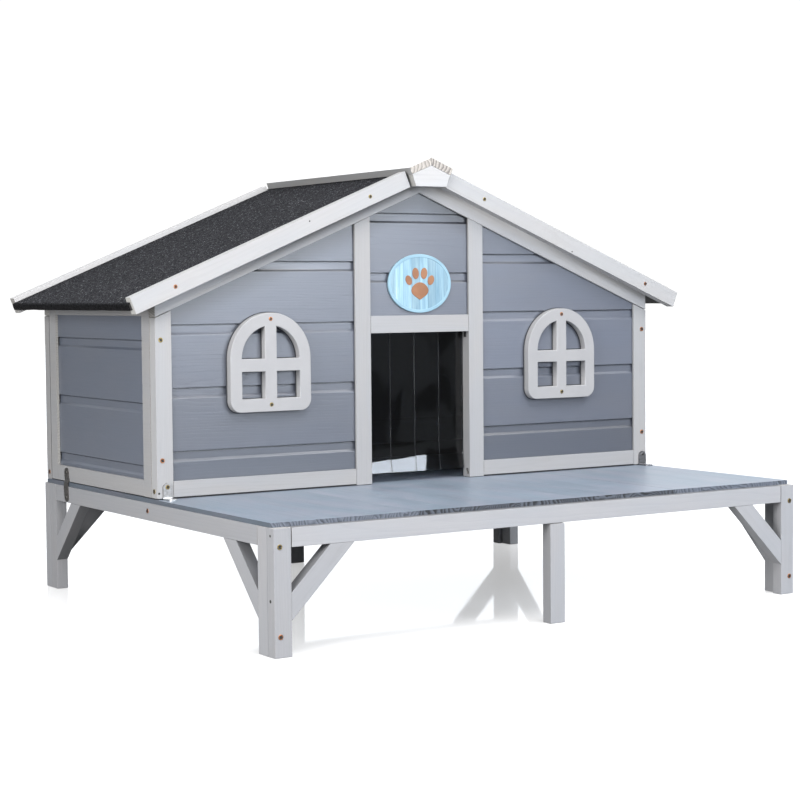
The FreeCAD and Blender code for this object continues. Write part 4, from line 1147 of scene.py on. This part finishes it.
# left bracket: the upright in a darker copy of the zinc and the left-facing edges in dark plate, painted shade, while
# the foot keeps the bright zinc; the right bracket is in tarnished zinc
o.data.polygons.foreach_set("material_index", [1 if q.center.x > 0 else 3 if q.normal.x < -0.6 and q.center.z > (DECK_Z + 3.0) * MM else
                                                 2 if q.center.z > (DECK_Z + 3.4) * MM else 0 for q in o.data.polygons])
LEAN = math.radians(7.5)
bms = []
for sx in (-1, 1):
    path = [(500.0, 158.0), (500.0, 184.6), (499.6, 187.4), (498.6, 191.6), (497.5, 194.2), (497.05, 196.4), (497.0, 216.0)]
    path = [(sx * x, 731.5 + (z - 165.0) * math.sin(LEAN), 165.0 + (z - 165.0) * math.cos(LEAN)) for x, z in path]
    if sx > 0:
        path = path[::-1]
    bms.append(bent_plate(path, (0, math.cos(LEAN), -math.sin(LEAN)), None, 8.0, 2.0, (True, True), "s", M_DARK))
place(join_bms("side_straps_piece", bms, M_DARK), "side_straps", slot="strap_dark")

lo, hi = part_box("jamb_clip")
b = Board(5)
b.add(*box_mesh(lo.x, hi.x, lo.y, hi.y, lo.z, hi.z), 0.5 * MM, 2)
place(b.build("jamb_clip_piece", M_BLACK), "jamb_clip", slot="clip_black")


# ------------------------------------------------------------------ sunk brad heads
# the brad heads are near black: painted shadow in their sunk holes
def brads(items):
    co, faces = [], []
    for pos, d, r in items:
        z = -Vector(d).normalized()
        x = z.orthogonal().normalized()
        y = z.cross(x)
        n = 14
        b0 = len(co)
        for rr, h in ((r, 0.06), (r * 0.72, 0.10), (r * 0.5, 0.02)):
            for k in range(n):
                a = 2 * math.pi * k / n
                q = x * (rr * math.cos(a)) + y * (rr * math.sin(a)) + z * h
                co.append(P(pos[0] + q.x, pos[1] + q.y, pos[2] + q.z))
        for q_ in range(2):
            for k in range(n):
                a, b_ = b0 + q_ * n + k, b0 + q_ * n + (k + 1) % n
                faces.append([a, b_, b_ + n, a + n])
        faces.append([b0 + 2 * n + k for k in range(n)])
        # closed underneath, inside the wood
        c0 = len(co)
        for k in range(n):
            a = 2 * math.pi * k / n
            q = x * (r * math.cos(a)) + y * (r * math.sin(a)) - z * 1.0
            co.append(P(pos[0] + q.x, pos[1] + q.y, pos[2] + q.z))
        for k in range(n):
            faces.append([b0 + (k + 1) % n, b0 + k, c0 + k, c0 + (k + 1) % n])
        faces.append([c0 + k for k in range(n)][::-1])
    return mesh_object("brad_heads", co, faces, M_HOLE, smooth=False)


place(brads([((-500, 10.3, 172.8), (1, 0, 0), 2.0), ((-500, 11.5, 79.9), (1, 0, 0), 2.6), ((-494, 379, 201), (0, 1, 0), 1.8),
             ((-231.6, 352, 629.5), (0, 1, 0), 1.3), ((305.2, 352, 582.5), (0, 1, 0), 1.3)]), slot="screw")


# ------------------------------------------------------------------ floor, light and camera
def floor():
    """Two coincident planes: a bright one that the camera sees and a plain white one that lights the object."""
    T = Tree("white_floor")
    c = T.obj()
    n = T.noise(c, 3.0, 3.0, 0.5)
    bs = T.principled(Base_Color=T.ramp(n, [(0.3, 0.56), (0.7, 0.59)]), Roughness=T.rng(n, 0.3, 0.7, 0.035, 0.06))
    bs.inputs["Specular IOR Level"].default_value = 0.25
    bs.inputs["Emission Color"].default_value = (1, 1, 1, 1)
    bs.inputs["Emission Strength"].default_value = 0.43
    o = mesh_object("floor", [(-14, -1.9, 0), (14, -1.9, 0), (14, 16, 0), (-14, 16, 0)], [[0, 1, 2, 3]], T.mat, smooth=False)
    o.location.z = -0.0003
    for key in ("visible_diffuse", "visible_glossy", "visible_transmission", "visible_shadow"):
        setattr(o, key, False)
    o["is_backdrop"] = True
    T = Tree("white_bounce")
    n = T.noise(T.obj(), 3.0, 3.0, 0.5)
    T.principled(Base_Color=T.ramp(n, [(0.3, 0.25), (0.7, 0.28)]), Roughness=T.rng(n, 0.3, 0.7, 0.5, 0.6))
    o = mesh_object("floor_bounce", [(-14, -1.9, 0), (14, -1.9, 0), (14, 16, 0), (-14, 16, 0)], [[0, 1, 2, 3]], T.mat, smooth=False)
    o.location.z = -0.0006
    o.visible_camera = False
    o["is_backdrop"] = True


floor()


def area(name, loc, target, size, power, color=(1, 1, 1), size_y=None, spread=180, roll=0.0):
    L = bpy.data.lights.new(name, "AREA")
    L.shape = "RECTANGLE"
    L.size = size
    L.size_y = size_y or size
    L.energy = power
    L.color = color
    L.spread = math.radians(spread)
    o = bpy.data.objects.new(name, L)
    SC.collection.objects.link(o)
    o.location = loc
    o.rotation_euler = ((Vector(target) - Vector(loc)).to_track_quat("-Z", "Y") @ Quaternion((0, 0, 1), math.radians(roll))).to_euler()
    return o


area("right_softbox", (1.022, -2.8, 1.1235), (1.022, 0.0, 1.1235), 1.6, 59, color=(0.83, 0.90, 1.0), size_y=1.245, roll=0.3)
area("right_top_softbox", (1.5, -1.6, 2.6), (0.0, 0.0, 0.35), 1.6, 49, size_y=1.6)
area("camera_softbox", (-1.2, -3.2, 2.0), (-0.2, 0.0, 0.35), 1.8, 34, size_y=1.6)
area("top_softbox", (-0.5, -2.0, 2.9), (0.0, 0.0, 0.35), 2.2, 112, size_y=1.6)
area("low_card_1", (1.66, -2.86, 0.42), (1.66, 0.0, 0.42), 0.34, 0.07, color=(0.85, 0.92, 1.0), size_y=0.52, roll=24.0)
area("low_card_2", (1.98, -2.86, 0.14), (1.98, 0.0, 0.14), 0.30, 0.045, color=(0.85, 0.92, 1.0), size_y=0.46, roll=-18.0)
area("left_fill", (-2.5, -1.1, 0.9), (-0.5, 0.0, 0.3), 1.2, 76, size_y=1.2)
area("back_fill", (0.0, 3.6, 1.9), (0.0, 0.2, 0.35), 2.2, 38, size_y=1.4).visible_glossy = False
S = bpy.data.lights.new("overhead_silk", "SUN")
S.energy = 0.75
S.angle = math.radians(60)
so = bpy.data.objects.new("overhead_silk", S)
SC.collection.objects.link(so)
so.location = (0, 0, 4)
so.visible_glossy = False
so.rotation_euler = Vector((0.0, 0.0, -1.0)).to_track_quat("-Z", "Y").to_euler()

W = bpy.data.worlds.new("studio")
SC.world = W
W.use_nodes = True
wt = W.node_tree
wt.nodes.clear()
out = wt.nodes.new("ShaderNodeOutputWorld")
tc = wt.nodes.new("ShaderNodeTexCoord")
dot = wt.nodes.new("ShaderNodeVectorMath")
dot.operation = "DOT_PRODUCT"
dot.inputs[1].default_value = (0.542, 0.840, 0.0)
wt.links.new(tc.outputs["Generated"], dot.inputs[0])
mr = wt.nodes.new("ShaderNodeMapRange")
mr.interpolation_type = "SMOOTHSTEP"
for i, val in enumerate((0.0, 0.5, 0.88, 0.10, 1.65)):
    mr.inputs[i].default_value = val
wt.links.new(dot.outputs["Value"], mr.inputs[0])
bg = wt.nodes.new("ShaderNodeBackground")
bg.inputs["Color"].default_value = (0.77, 0.80, 0.84, 1)
wt.links.new(mr.outputs[0], bg.inputs["Strength"])
bg2 = wt.nodes.new("ShaderNodeBackground")
bg2.inputs["Color"].default_value = (1, 1, 1, 1)
bg2.inputs["Strength"].default_value = 1.05
lp = wt.nodes.new("ShaderNodeLightPath")
mx = wt.nodes.new("ShaderNodeMixShader")
wt.links.new(lp.outputs["Is Camera Ray"], mx.inputs[0])
wt.links.new(bg.outputs[0], mx.inputs[1])
wt.links.new(bg2.outputs[0], mx.inputs[2])
wt.links.new(mx.outputs[0], out.inputs[0])

SC.view_settings.view_transform = "Standard"
SC.view_settings.look = "None"
SC.view_settings.exposure = 0.0
SC.view_settings.gamma = 1.0

az, pi_, ro = 0.5727463727, 0.0566227993, -0.0086338792
d = Vector((math.sin(az) * math.cos(pi_), math.cos(az) * math.cos(pi_), -math.sin(pi_)))
r = Vector((math.cos(az), -math.sin(az), 0.0))
u = r.cross(d)
r2 = r * math.cos(ro) + u * math.sin(ro)
u2 = -r * math.sin(ro) + u * math.cos(ro)
cam = bpy.data.cameras.new("camera")
cam.sensor_width = 36.0
cam.sensor_fit = "HORIZONTAL"
cam.lens = 36.0 * 1895.249 / 800.0
cam.clip_end = 100
co = bpy.data.objects.new("camera", cam)
SC.collection.objects.link(co)
pos = P(-1779.565, -2313.726, 512.804)
co.matrix_world = Matrix(((r2.x, u2.x, -d.x, pos.x), (r2.y, u2.y, -d.y, pos.y), (r2.z, u2.z, -d.z, pos.z), (0, 0, 0, 1)))
SC.camera = co

lo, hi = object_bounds()
